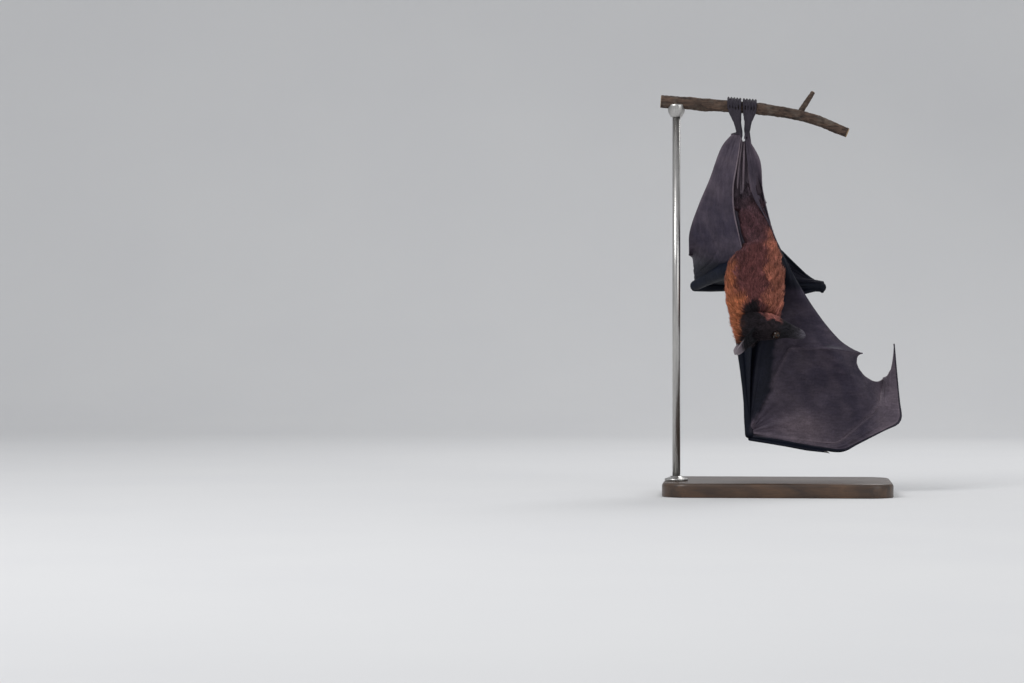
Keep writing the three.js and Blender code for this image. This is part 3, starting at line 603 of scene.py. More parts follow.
def hand_membrane(side, n):
    """The membrane between fingers n and n + 1."""
    one, two = (digit_rail(BAT[side]["digits"][digit]) for digit in (n, n + 1))
    u, v = shares(72)[:, None], shares(40)
    end = 1 - SCALLOP[side][n] * 4 * v * (1 - v)
    w = np.where(u < 0.7, u, 0.7 + (end - 0.7) * (u - 0.7) / 0.3)
    grid = folds(relax(mix(one(w), two(w), v), 12), 1.3, (2, 4, 7), 30 + n)
    near, far, edge = (length_of(grid - rim) for rim in (grid[:, :1], grid[:, -1:], grid[-1:]))
    half = web_half((near, along(DIGIT_RADII[n], u)), (far, along(DIGIT_RADII[n + 1], u)))
    # Painted highlight pales the sheet beside both fingers and along its free edge.
    return grid, half, 0.3 * bell(np.minimum(near, far), 2.6) + 0.35 * bell(edge, 1.6)


def leading_membrane(side):
    digits = BAT[side]["digits"]
    one = rail((0, 0.75, digits[2][:2]), (0.75, 1, digits[2][1:]))(np.linspace(0.02, 0.97, 40))
    two = digit_rail(digits[3])(np.linspace(0.02, 0.37, 40))
    return mix(one[:, None], two[:, None], shares(10)), SHEET_HALF, 0


def arm_membrane(side):
    shoulder, elbow, wrist = (BAT[side][joint] for joint in ("shoulder", "elbow", "wrist"))
    t = shares(60)
    arm = curve([mix(shoulder, elbow, 0.2), elbow, mix(wrist, elbow, 0.04)])(t)[:, None]
    start = mix(mix(shoulder, wrist, 0.1), elbow, 0.2)
    pull = mix((shoulder + wrist) * 0.5, elbow, 0.62)
    end = mix(wrist, shoulder, 0.03)
    t = t[:, None, None]
    rim = start * (1 - t) ** 2 + pull * 2 * t * (1 - t) + end * t ** 2
    return folds(mix(arm, rim, shares(24)), 0.7, (2, 5), 21), SHEET_HALF, 0


def leg_membrane():
    """The small membrane between the legs, whose free edge curves in between the ankles."""
    u, v = shares(40)[:, None], shares(16)
    w = 0.03 + 0.12 * 4 * v * (1 - v)
    w = w + (1 - w) * u
    a, b = (curve([bat["ankle"], bat["knee"]])(w) for bat in BAT.values())
    # Painted highlight pales the whole sheet.
    return folds(mix(a, b, v), 0.5, (2, 3), 51), SHEET_HALF, 0.3


def digit_tube(bat, n):
    chain = bat["digits"][n]
    path = [chain[0]]
    for start, end in zip(chain[:-1], chain[1:]):
        path += [*mix(start, end, (0.05, 0.25, 0.5, 0.75, 0.95))]
    radii = np.array(DIGIT_RADII[n]) - 0.15
    return loft([*path, chain[-1]], radii, 0.8, 12, 64 if n > 2 else 30, (0.3, 0.8, 0.4))


# Painted shade darkens the skin of the wings beside the left forearm and along the left hand's leading edge,
# up to these lines, and on the right arm below the trunk.
LEFT_SHADE = {"height": (60, 91, 130, 190, 230, 290), "x": (-50, -34, -6, -1, 6, 14)}
LEFT_EDGE_SHADE = {"x": (-40, -25, 5, 46, 81, 100), "height": (79, 75, 68.5, 59.5, 56, 48)}


def wing_dark(p, side):
    """How much painted shade darkens the skin of a wing, from 0 to 1."""
    x, _, z = p.T
    if side == "right":
        return 0.9 * smooth(302, 292, z + 2 * wave_noise(p, 40, 15))
    wander = 2.5 * wave_noise(p, 30, 14)
    arm = smooth(4, -5, x - np.interp(z, LEFT_SHADE["height"], LEFT_SHADE["x"]) + wander) * smooth(285, 240, z)
    # Painted shade also darkens the left wing high up beside the trunk.
    top = smooth(257, 266, z) * smooth(335, 308, z) * smooth(-6, 4, x)
    edge = smooth(2.0, -2.5, z - np.interp(x, LEFT_EDGE_SHADE["x"], LEFT_EDGE_SHADE["height"])) * smooth(106, 92, x)
    return np.maximum(np.maximum(arm, edge), top) * 0.93


def wing_pale_and_highlight(p):
    """How much paler the skin is: a painted highlight above the left knuckles, paler at the wing tip, towards
    the ankles and low on the left wing, and in soft spots.
    """
    x, _, z = p.T
    spots = smooth(-0.5, 1.0, wave_noise(p, 60, 8)) + 0.6 * smooth(-0.2, 1.0, wave_noise(p, 19, 9))
    # A painted highlight where the hand faces up into the light, above the left knuckles.
    knuckle_highlight = bell(x - 36, 30) * bell(z - 84 + 0.1 * (x - 36), 20)
    ankle = 0.15 * smooth(340, 400, z)
    low = 0.10 * smooth(60, 10, x) * smooth(250, 150, z)
    return 0.7 * knuckle_highlight + 0.34 * smooth(108, 140, x) + 0.13 * spots + ankle + low


def wing_colour(p, side, highlight=0.0, dark=0.0):
    # Painted highlights and the paler patches lift the skin's own colour, and painted shade then darkens it.
    colour = mix(SKIN["wing"], SKIN["pale"], np.clip(highlight + wing_pale_and_highlight(p), 0, 1))
    return mix(colour, SKIN["dark"], np.clip(wing_dark(p, side) + dark, 0, 1))

# ---- Branch, legs, feet and claws


BRANCH = [(-148, 6, 500), (-96, 8, 496), (-48, 4, 492), (-4, 2, 487), (44, -3, 476), (88, -7, 458)]
BRANCH_RADII = np.array([8.6, 8.2, 7.8, 7.4, 7.0, 6.6])
STUB, STUB_RADII = [(26, 0, 481), (45, 10, 511)], np.array([4.2, 3.0])
TOES = {"count": 5, "spacing": 3.7, "lift": 2.0}
branch_line = curve(BRANCH)(shares(600)).T


def branch_at(x):
    """The middle and the radius of the branch at x."""
    share = (x - branch_line[0, 0]) / (branch_line[0, -1] - branch_line[0, 0])
    return np.array([np.interp(x, branch_line[0], row) for row in branch_line]), along(BRANCH_RADII, share)


def over_branch(x, turn, lift=TOES["lift"]):
    """A point above the bark, turned round the branch by degrees from its front towards its top."""
    centre, radius = branch_at(x)
    a = radians(turn)
    return centre + np.array([0, -cos(a), sin(a)]) * (radius + lift)


def toe_places(bat):
    """How far each toe is from the middle one, and where it grips."""
    for i in range(TOES["count"]):
        across = (i - 2) * TOES["spacing"]
        yield across, bat["grip"] + across


def leg_shapes(bat):
    ankle, towards = bat["ankle"], over_branch(bat["grip"], -8, TOES["lift"] + 1)
    yield loft([bat["knee"], ankle], np.array([6.6, 5.6, 4.4, 3.6, 3.6, 4.2]) - 0.7, 0.9, side=(1, 0, 0))
    sole = mix(ankle, towards, (-0.12, 0.16, 0.4, 0.66))
    yield loft(sole, [(2.9, 2.9), (4.1, 4.0), (4.3, 3.7), (5.0, 3.1), (4.6, 2.0)], 0.5, side=(1, 0, 0))
    for across, x in toe_places(bat):
        path = [mix(ankle, towards, 0.38) + (across * 0.42, 0, 0)]
        path += [over_branch(x, turn) for turn in (-14, 2, 18, 34, 48, 62, 80)]
        yield loft(path, [1.0, 1.75, 1.6, 1.9, 1.4, 1.4, 1.9, 1.5, 1.7], 0.8, 14, side=(1, 0, 0))
    # Skin gathers round the ankle where the wing and the leg's membranes end.
    for end, thin in ((bat["heel"], 0.9), (np.array(bat["back_edge"][0]), 1.0)):
        beyond = end + unit(end - ankle) * 0.8
        yield loft([ankle, beyond], [3.2, 2.4, 1.9, 1.5, thin], 0.8, side=(0, 1, 0.2))


def claw_shape(root, forward, down, length, radius, bend):
    """A hooked claw, flattened from side to side, that tapers to a point. bend is in degrees."""
    f = unit(forward)
    d = unit(down - f * (down @ f))
    share = shares(9)
    turn = radians(bend) * share
    path = root + (length / turn[-1]) * (f * np.sin(turn)[:, None] + d * (1 - np.cos(turn))[:, None])
    size = radius * (1 - share ** 1.35) ** 0.8 + 0.12
    return loft(path, np.outer(size, (0.8, 1.15)), 0.5, 14, 18, np.cross(f, d))


def toe_claws(bat):
    for _, x in toe_places(bat):
        root = over_branch(x, 82, TOES["lift"] + 0.2)
        forward = over_branch(x, 100, TOES["lift"] + 1.2) - root
        yield claw_shape(root, forward, branch_at(x)[0] - root, 11, 1.7, 78)


def hand_claws(bat):
    for chain, hook, size in ((bat["thumb"], "thumb_hook", (14, 2.6, 85)),
                              (bat["digits"][2], "finger_hook", (8, 1.3, 60))):
        aim = unit(chain[-1] - chain[-2])
        yield claw_shape(chain[-1] - aim * 0.4, aim, np.array(bat[hook]), *size)

# ---- The one skin over all of the flesh


# Painted shade darkens the forearms more than the skin beside them, and the second and third fingers along
# the leading edge; painted highlight pales the fourth and fifth fingers.
FOREARM_SHADE = {"left": 0.75, "right": 0.45}  # how much darker the forearm is than the skin beside it
FINGER_HIGHLIGHT_AND_SHADE = {2: (0.0, 0.9), 3: (0.0, 0.7), 4: (0.12, 0.0), 5: (0.10, 0.0)}  # how pale and how dark


def limb_share(p, start, end):
    """How far points lie from a limb's bone, and how far along it."""
    axis = end - start
    t = np.clip((p - start) @ axis / (axis @ axis), 0, 1)
    return length_of(p - (start + t[:, None] * axis)), t


def trunk_reach(p):
    """How far out points lie in the trunk's and ruff's outline: 1 is its surface."""
    axis = curve(RUFF_AXIS[::-1] + TRUNK_AXIS[-2::-1])(shares(200))
    radii = along(RUFF_RADII[::-1] + TRUNK_RADII[-2::-1], shares(200))
    pick = np.clip(np.searchsorted(axis[:, 2], p[:, 2]), 0, 199)
    away = p - axis[pick]
    return np.hypot(away @ LEFT / radii[pick, 0], away @ BELLY / radii[pick, 1])


def arm_share(p):
    """1 on an upper arm where it has left the trunk, and 0 on the trunk."""
    share = np.zeros(len(p))
    for bat in BAT.values():
        distance, t = limb_share(p, bat["shoulder"], bat["elbow"])
        share = np.maximum(share, smooth(17, 13, distance) * smooth(0.04, 0.12, t))
    return share * smooth(0.84, 0.94, trunk_reach(p))


def dressed(made, colour, bare):
    """A closed shape with its colour, and how bare of hair it is, for every vertex."""
    count = len(made[0])
    return made, np.broadcast_to(colour, (count, 3)), np.broadcast_to(bare, count)


def web(membrane, side, dark=0.0):
    grid, half, highlight = membrane
    made = closed_sheet(grid, half)
    highlight = np.broadcast_to(highlight, grid.shape[:2]).ravel()
    return dressed(made, wing_colour(made[0], side, np.tile(highlight, 2), dark), 1.0)


def torso_skin():
    bare = arm_share(torso_verts)
    colour = mix(coat_colour(torso_verts) * 0.55, SKIN["dark"] * 1.4, bare)
    return dressed((torso_verts, torso_faces), colour, 0.9 * bare)


def head_skin():
    back = head_coordinates(head_verts)[0]
    colour = mix(FUR["head"], coat_colour(head_verts) * 0.55, smooth(28, 38, back))
    colour = mix(colour, SKIN["muzzle"], smooth(20, 5, back))
    return dressed((head_verts, head_faces), colour, 0.7 * smooth(14, 4, back))


def ear_skin(sign):
    grid = ear_grid(sign)
    s, t = (shares(n) for n in grid.shape[:2])
    s = s[:, None]
    rim = smooth(0.16, 0.0, np.minimum(np.minimum(t, 1 - t), 1 - s))
    # Painted light shining through the thin ear pales it towards its tip and along its rim.
    colour = mix(SKIN["ear"], SKIN["ear_rim"], 0.45 * s + 0.5 * rim)
    colour = mix(colour, FUR["head"], smooth(0.86, 0.50, s)).reshape(-1, 3)
    made = closed_sheet(grid, 0.62 - 0.2 * rim + 0.5 * smooth(0.3, 0.0, s))
    return dressed(made, np.tile(colour, (2, 1)), 0.8)


def leg_skin(bat):
    verts, faces = melt("leg", leg_shapes(bat), voxel=0.5, smoothing=9)
    # The shins carry a painted highlight, paler than the feet.
    highlit_shin = mix(SKIN["wing"], SKIN["pale"], 0.3)
    colour = mix(SKIN["foot"], highlit_shin, smooth(460, 445, verts[:, 2]))
    return dressed((verts, faces), mix(colour, FUR["rump"] * 0.6, smooth(412, 388, verts[:, 2])), 0.7)


def wing_skin(side):
    bat = BAT[side]
    yield web(large_membrane(side), side)
    for n in SCALLOP[side]:
        yield web(hand_membrane(side, n), side)
    # Painted shade darkens the leading membrane and the membrane along the arm.
    yield web(leading_membrane(side), side, 0.85)
    yield web(arm_membrane(side), side, 0.4)
    tubes = [(digit_tube(bat, n), *highlight_and_shade) for n, highlight_and_shade in FINGER_HIGHLIGHT_AND_SHADE.items()]
    forearm = loft([bat["elbow"], bat["wrist"]], np.array(FOREARM_RADII) - 0.4, 0.8, 24, 48)
    # The thumb carries a little painted highlight and painted shade.
    tubes += [(forearm, 0.0, FOREARM_SHADE[side]), (loft(bat["thumb"], THUMB_RADII, 0.8, 14, 26), 0.1, 0.3)]
    for made, highlight, dark in tubes:
        yield dressed(made, wing_colour(made[0], side, highlight, dark), 0.9)


def ankle_folds():
    """Narrow folds of skin: one along the right wing's edge over the leg, and three between the shins. Their
    pale colour is a painted highlight along the folds.
    """
    edge = curve(POSE["right"]["back_edge"])(np.linspace(0.02, 1, 8)) + np.array([0, -0.6, 0])
    between = ([(-44.5, -14.5, 449), (-47.5, -16.5, 428), (-50, -18.5, 405), (-50.5, -18.5, 384)],
               [(-42, -12, 447), (-42.5, -13, 425), (-43, -14, 404), (-43.5, -14.5, 386)],
               [(-39, -8.5, 450), (-37, -10, 428), (-35.5, -11, 406), (-33, -13, 384)])
    yield dressed(loft(edge, [0.5, 0.9, 1.0, 1.0, 0.6], 0.8, 10, 90), SKIN["pale"] * 0.85, 1.0)
    for path in between:
        yield dressed(loft(path, [0.5, 1.4, 1.5, 1.5, 0.6], 0.8, 10, 90), SKIN["pale"] * 0.8, 1.0)


ears = [ear_skin(1), ear_skin(-1)]
parts = [torso_skin(), head_skin(), *ears, web(leg_membrane(), "right")]
for side in SIDES:
    parts += [*wing_skin(side), leg_skin(BAT[side])]
shapes, tints, bares = zip(*parts, *ankle_folds())
flesh = set(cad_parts) - set(nodes_named("claw_", "eye_", "perch", "stand_"))
bat_skin = piece("bat_skin", join(shapes), "wing_skin", flesh,
                 tint=np.vstack(tints), bare=np.concatenate(bares))

# ---- Eyes and claws

IRIS = palette(inner=(0.022, 0.009, 0.004), streak=(0.048, 0.019, 0.007), edge=(0.012, 0.006, 0.004),
               pupil=(0.002, 0.002, 0.002))


def eye_piece(sign, side):
    gaze, centre = gaze_of(sign), root_of(EYE, sign)
    level = unit(np.cross(gaze, UP))
    top = np.cross(level, gaze)
    polar, turn = np.linspace(0.02, pi - 0.02, 40)[:, None, None], around(48)[:, None]
    radius = EYE["radius"] - 0.25 + 0.22 * smooth(0.95, 0.2, polar)
    disc = np.cos(turn) * level + np.sin(turn) * top
    made = closed_tube(centre + radius * (np.cos(polar) * gaze + np.sin(polar) * disc))
    away = unit(made[0] - centre)
    angle = np.arccos(np.clip(away @ gaze, -1, 1))
    streak = 0.5 + 0.5 * np.sin(31 * np.arctan2(away @ top, away @ level))
    colour = mix(IRIS["inner"], IRIS["streak"], streak * 0.5)
    colour = mix(colour, IRIS["edge"], smooth(0.6, 0.9, angle))
    colour = mix(colour, IRIS["pupil"], smooth(0.41, 0.36, angle))
    return piece(f"eyeball_{side}", made, "eye", [f"eye_{side}"], tint=colour)


eyes = [eye_piece(1, "left"), eye_piece(-1, "right")]
claws = []
for side, bat in BAT.items():
    toes, hand = nodes_named(f"claw_toe_{side}"), [f"claw_thumb_{side}", f"claw_finger_{side}"]
    claws.append(piece(f"claws_foot_{side}", join(toe_claws(bat)), "claw", toes))
    claws.append(piece(f"claws_hand_{side}", join(hand_claws(bat)), "claw", hand))

# ---- Perch and stand


def bark_tube(path, radii, sides, rings, relief, seed):
    """A closed length of branch with furrowed bark, and 1 for each vertex of its cut ends."""
    grid = tube_grid(path, radii, sides, rings)
    flat = grid.reshape(-1, 3)
    angle = np.tile(around(sides), rings + 1)
    length = np.repeat(np.linspace(0, np.linalg.norm(np.subtract(path[-1], path[0])), rings + 1), sides)
    furrow = np.stack([np.cos(angle) * 8, np.sin(angle) * 8, length * 0.22], 1)
    push = wave_noise(furrow, 5, seed) * 0.6 + wave_noise(flat, 14, seed + 1) * 0.5
    push = push + 0.3 * wave_noise(flat, 3.4, seed + 2)
    scar = np.sin(length / 31 + 0.6 * wave_noise(flat, 40, seed + 3)) ** 24
    ends = np.minimum(np.arange(rings + 1), np.arange(rings + 1)[::-1])
    push = (push * relief + scar * 0.55).reshape(grid.shape[:2]) * smooth(0, 5, ends)[:, None]
    push = push - 0.5 * (ends == 0)[:, None]
    made = closed_tube(grid + unit(grid - grid.mean(1, keepdims=True)) * push[..., None])
    return made, np.concatenate([np.repeat(ends == 0, sides), [1, 1]])


limbs, cuts = zip(bark_tube(BRANCH, BRANCH_RADII - 0.5, 72, 340, 0.55, 41),
                  bark_tube(STUB, STUB_RADII - 0.25, 36, 50, 0.3, 47))
perch = piece("perch_branch", join(limbs), "bark", ["perch"], cut=np.concatenate(cuts))

BASE = {"length": 290, "width": 200, "height": 18, "corner": 34}
ROD = {"x": -128, "radius": 5, "foot_radius": 15, "foot_height": 6, "cup_radius": 11, "cup_height": 16}


def base_shape():
    """The base: its rounded outline drawn in at each height by an inset, over a softly rounded edge."""
    top, corner, rings = BASE["height"], BASE["corner"], []
    x, y = BASE["length"] / 2 - corner, BASE["width"] / 2 - corner
    for inset, z in ((1.4, 0), (0.4, 0.5), (0, 1.4), (0, top - 4.2), (0.25, top - 2.9), (0.9, top - 1.6),
                     (1.9, top - 0.7), (3.2, top - 0.15), (4.4, top), (20, top)):
        ring, r = [], corner - inset
        for k, (sx, sy) in enumerate(((1, -1), (1, 1), (-1, 1), (-1, -1))):
            for a in np.linspace(0, pi / 2, 24) + (k - 1) * pi / 2:
                ring.append((sx * x + r * cos(a), sy * y + r * sin(a), z))
        rings.append(ring)
    return closed_tube(np.array(rings))


def lathe(profile, x, y):
    """A turned shape from (radius, height) pairs."""
    turn = around(72)
    rings = [np.stack([x + r * np.cos(turn), y + r * np.sin(turn), np.full(72, z)], 1) for r, z in profile]
    return closed_tube(np.array(rings))


def stand_pieces():
    centre, radius = branch_at(ROD["x"])
    at, r = (ROD["x"], HANG[1] + centre[1]), ROD["radius"]
    low, cup = BASE["height"] + 0.3, centre[2] - radius - 2
    rod = lathe([(r, low), (r, cup - 0.2)], *at)
    wide, high = ROD["foot_radius"], low + ROD["foot_height"]
    foot = lathe([(r + 0.3, low + 0.1), (wide - 0.6, low), (wide, low + 0.6), (wide, low + 2.2),
                  (wide - 0.9, low + 3.0), (wide - 3.4, low + 3.5), (r + 3, high - 1), (r + 2.4, high),
                  (r + 0.3, high - 0.1)], *at)
    wide, low, high = ROD["cup_radius"], cup - ROD["cup_height"] / 2, cup + ROD["cup_height"] / 2
    cup = lathe([(r + 0.4, low + 0.2), (r + 1.8, low), (r + 2.4, low + 0.5), (wide - 2.2, low + 3),
                 (wide - 0.4, low + 7), (wide, high - 2.5), (wide, high - 0.6), (wide - 0.6, high),
                 (wide - 1.8, high), (wide - 2.3, high - 0.8), (wide - 3.4, high - 4), (2, high - 6)], *at)
    for name, node, shape in (("board", "base", base_shape()), ("rod_turned", "rod", rod),
                              ("collar", "foot", foot), ("holder", "cup", cup)):
        slot = "stand_wood" if node == "base" else "stand_metal"
        yield piece(f"stand_{name}", shape, slot, [f"stand_{node}"], move=0)


board, *metal = stand_pieces()

# ---- Coat

COAT = {"body": 62000, "head": 22000, "ear": 1800}  # tufts, on each ear for the last
PER_PIECE = 12000
HAIR = {"back": 8.0, "mantle": 3.5, "arm": -4.0}  # length on the back, and what the mantle and arms add
UV_SPAN = 0.0028  # how wide each tuft's patch of the unwrap is
TUFT_COLOUR_AT = 0.65  # how far along a tuft its colour is read


def surface_samples(verts, faces, count, draw, weight):
    """Points spread at random over a surface, with its smooth normals there. weight favours some places."""
    tris = np.array([(f[0], f[k], f[k + 1]) for f in faces for k in range(1, len(f) - 1)])
    a, b, c = (verts[tris[:, k]] for k in range(3))
    cross = np.cross(b - a, c - a)
    normals = np.zeros_like(verts)
    for k in range(3):
        np.add.at(normals, tris[:, k], cross)
    if np.sum(cross * (a + b + c)) < 0:
        normals = -normals
    area = length_of(cross) * weight((a + b + c) / 3)
    pick = draw.choice(len(tris), size=count, p=area / area.sum())
    r, s = np.sqrt(draw.uniform(size=count))[:, None], draw.uniform(size=count)[:, None]
    point, normal = (sum(w * values[tris[pick, k]] for k, w in enumerate((1 - r, r * (1 - s), r * s)))
                     for values in (verts, normals))
    return point, unit(normal + 1e-9)


def turned(vector, axis, angle):
    """Turns each vector about its own unit axis, which it is square to, by its own angle."""
    angle = angle[:, None]
    return vector * np.cos(angle) + np.cross(axis, vector) * np.sin(angle)


def tuft_faces():
    """The triangles of one tuft: three rings of three points and a tip."""
    faces = [(0, 1, 2)]
    for k in (0, 3):
        for j in range(3):
            i = (j + 1) % 3
            faces += [(k + j, k + 3 + j, k + 3 + i), (k + j, k + 3 + i, k + i)]
    return np.array([*faces, (6, 9, 7), (7, 9, 8), (8, 9, 6)])


def tufts(name, slot, draw, root, normal, lie, length, width, lift, base, tip, uv):
    """One mesh of tapered, bent locks of hair. Each is a closed three-sided blade on its own root."""
    count = len(root)
    lie = turned(laid(lie, normal), normal, 0.45 * wave_noise(root, 17, 61) + 0.16 * draw.normal(size=count))
    side = np.cross(lie, normal)
    length = (length * (1 + 0.16 * draw.normal(size=count)).clip(0.6, 1.5))[:, None]
    bend = (0.30 * draw.normal(size=count) + 0.25 * wave_noise(root, 9, 67))[:, None]
    rise = np.sin(lift)[:, None]
    root = root - normal * np.minimum(0.5, 0.07 * length)
    verts = np.zeros((count, 10, 3))
    shade = np.repeat([0.0, 0.36, 0.72, 1.0], 3)[:10]
    for k, fat in ((0, 0.85), (3, 1.0), (6, 0.62), (9, 0.0)):  # three rings of three points, and the tip
        t = shade[k]
        centre = root + lie * (length * t * (0.93 + 0.07 * t)) + normal * (length * rise * (t - 0.42 * t * t))
        centre = centre + side * (length * 0.16 * bend * t * t)
        half = (width * fat * 0.5)[:, None]
        for j, angle in enumerate((pi / 2, pi * 7 / 6, pi * 11 / 6)[:10 - k]):
            verts[:, k + j] = centre + side * (half * cos(angle)) + normal * (half * 0.55 * sin(angle))
    faces = (tuft_faces() + np.arange(count)[:, None, None] * 10).reshape(-1, 3)
    light = np.exp(0.34 * draw.normal(size=count)).clip(0.45, 2.1)[:, None, None]
    tint = (mix(base[:, None], tip[:, None], shade) * light).reshape(-1, 3)
    made = piece(name, (verts.reshape(-1, 3), faces.tolist()), slot, tint=tint)
    patch = np.column_stack([np.arange(10) % 3 - 1, shade * 2 - 1]) * UV_SPAN / 2
    corner = (uv[:, None] + patch).reshape(-1, 2)[faces.ravel()]
    made.data.uv_layers.new(name="OFBake").data.foreach_set("uv", corner.astype(np.float32).ravel())
    return made


def coat_pieces(name, slot_of, draw, order, hair):
    """Coat pieces of even size, parted along the order."""
    for i, pick in enumerate(np.array_split(np.argsort(order), ceil(len(order) / PER_PIECE))):
        lock = {key: values[pick] for key, values in hair.items()}
        yield tufts(f"{name}_{i + 1}", slot_of(lock), draw, **lock)


def inside_head(p, margin):
    back, out, up = head_coordinates(p)
    wide, top, low = (reach - margin for reach in head_profile(np.clip(back, 0, HEAD_LENGTH)))
    rise = up / np.where(up > 0, top, low)
    return (back > 1) & (back < HEAD_LENGTH) & ((out / wide) ** 2 + rise ** 2 < 1)


def body_lie(p):
    """The way the hair lies on the trunk, neck, arms and thighs."""
    lie = mix(UP, UP * 0.25 - FORWARD * 0.9, smooth(250, 212, p[:, 2]) * smooth(-14, -34, p[:, 0]))
    for bat in BAT.values():
        distance, t = limb_share(p, bat["hip"], bat["knee"])
        lie = mix(lie, unit(bat["knee"] - bat["hip"]), smooth(16, 9, distance) * smooth(0.1, 0.4, t))
    return lie


def trunk_uv(p, arm):
    """An unwrap of the coat's surface: the trunk as one sheet round its axis and the arms above it."""
    x, y, z = p.T
    trunk = np.column_stack([np.arctan2(y, x + 28) / (2 * pi) * 0.98 + 0.5, 0.01 + 0.70 * (z - 185) / 225])
    round_arm = np.arctan2(x + 25, y - 40) / (2 * pi) + 0.5
    arms = np.column_stack([np.where(x > -25, 0.51, 0.01) + 0.48 * round_arm,
                            0.74 + 0.25 * np.clip((300 - z) / 90, 0, 1)])
    return np.where(arm[:, None] > 0.5, arms, trunk).clip(0.002, 0.998)


def body_coat():
    draw = np.random.default_rng(19)

    def weight(p):
        beside = smooth(-27, -21, p[:, 0]) * smooth(362, 371, p[:, 2])
        share = ~inside_head(p, 2.5) * (1 - arm_share(p)) * (1 - beside)
        return share * smooth(394, 380, p[:, 2]).clip(0.04, 1)

    root, normal = surface_samples(torso_verts, torso_faces, COAT["body"], draw, weight)
    arm = arm_share(root)
    mantle = smooth(322, 292, root[:, 2] + 4 * wave_noise(root, 34, 3))
    length = HAIR["back"] + HAIR["mantle"] * mantle + HAIR["arm"] * arm
    length = length * (1 + 0.16 * wave_noise(root, 11, 71))
    lift = np.radians(12 + 10 * mantle + (2 + 4 * mantle) * wave_noise(root, 8, 73) - 3 * arm)
    lie = body_lie(root)
    tone = coat_colour(root + laid(lie, normal) * TUFT_COLOUR_AT * length[:, None])
    clump = 0.6 * wave_noise(root, 5.5, 77) + 0.55 * wave_noise(root, 12, 79)
    tip = np.clip(tone * (1.3 * np.exp(0.5 * clump))[:, None], 0, 1)
    base = tone * np.array([0.26, 0.24, 0.28]) * np.exp(0.3 * clump)[:, None]
    hair = dict(root=root, normal=normal, lie=lie, length=length, width=0.95 + 0.15 * mantle, lift=lift,
                base=base, tip=tip, uv=trunk_uv(root, arm))

    def slot_of(lock):
        return "mantle_fur" if lock["root"][:, 2].mean() < MANTLE_BELOW else "back_fur"

    return coat_pieces("coat_body", slot_of, draw, root[:, 2], hair)


def head_coat():
    draw = np.random.default_rng(23)

    def ear_distance(p):
        roots = [on_head(EAR["back"] - 2, sign * (EAR["out"] + 1), EAR["up"] + 2) for sign in (1, -1)]
        return np.minimum(*(length_of(p - root) for root in roots))

    def weight(p):
        back = head_coordinates(p)[0]
        share = smooth(3, 16, back) * (1 + 2.8 * smooth(55, 16, back)) * smooth(1.5, 4, ear_distance(p))
        for sign in (1, -1):
            share = share * smooth(5.2, 6.6, length_of(p - root_of(EYE, sign)))
        return share

    root, normal = surface_samples(head_verts, head_faces, COAT["head"], draw, weight)
    back, out, up = head_coordinates(root)
    normal = normal * np.sign(np.sum(normal * (root - on_head(back, 0, 0)), 1))[:, None]
    length = 1.9 + 6.9 * smooth(14, 70, back) + 2.5 * bell(ear_distance(root), 9)
    lie = np.broadcast_to(-FORWARD, root.shape)
    behind = coat_colour(root + laid(lie, normal) * TUFT_COLOUR_AT * length[:, None])
    tone = mix(mix(FUR["head"], FUR["muzzle"], smooth(24, 6, back)), behind, smooth(28, 38, back))
    tone = tone * np.exp(0.4 * wave_noise(root, 6, 81))[:, None]
    uv = np.column_stack([np.arctan2(up, out) / (2 * pi) + 0.5, back / 84]) * 0.98 + 0.01
    hair = dict(root=root, normal=normal, lie=lie, length=length, width=0.42 + 0.65 * smooth(12, 60, back),
                lift=np.radians(13 + 9 * smooth(30, 70, back)), base=tone * 0.4, tip=tone * 1.7, uv=uv)
    return coat_pieces("coat_head", lambda lock: "face", draw, back, hair)


def ear_coat():
    """Short hair on the lower half of the ears."""
    draw = np.random.default_rng(29)
    for sign, side, ((verts, faces), *_) in zip((1, -1), SIDES, ears):
        start = root_of(EAR, sign)
        way = unit(verts[len(verts) // 2 - 1] - start)  # towards a corner of the tip

        def share(p):
            return (p - start) @ way / EAR["length"]

        def weight(p):
            return smooth(0.74, 0.36, share(p))

        root, normal = surface_samples(verts, faces, COAT["ear"], draw, weight)
        high = share(root).clip(0, 1)
        tone = FUR["head"] * np.exp(0.4 * wave_noise(root, 6, 83))[:, None]
        across = 0.5 + (root - start) @ np.cross(way, UP) / 40
        yield tufts(f"coat_ear_{side}", "face", draw, root, normal, np.broadcast_to(way, root.shape),
                    4.6 - 2.2 * high, 0.8 - 0.3 * high, np.radians(16 - 4 * high), tone * 0.5, tone * 1.6,
                    np.column_stack([across, high]).clip(0.01, 0.99))


coat = [*body_coat(), *head_coat(), *ear_coat()]

# ---- Materials


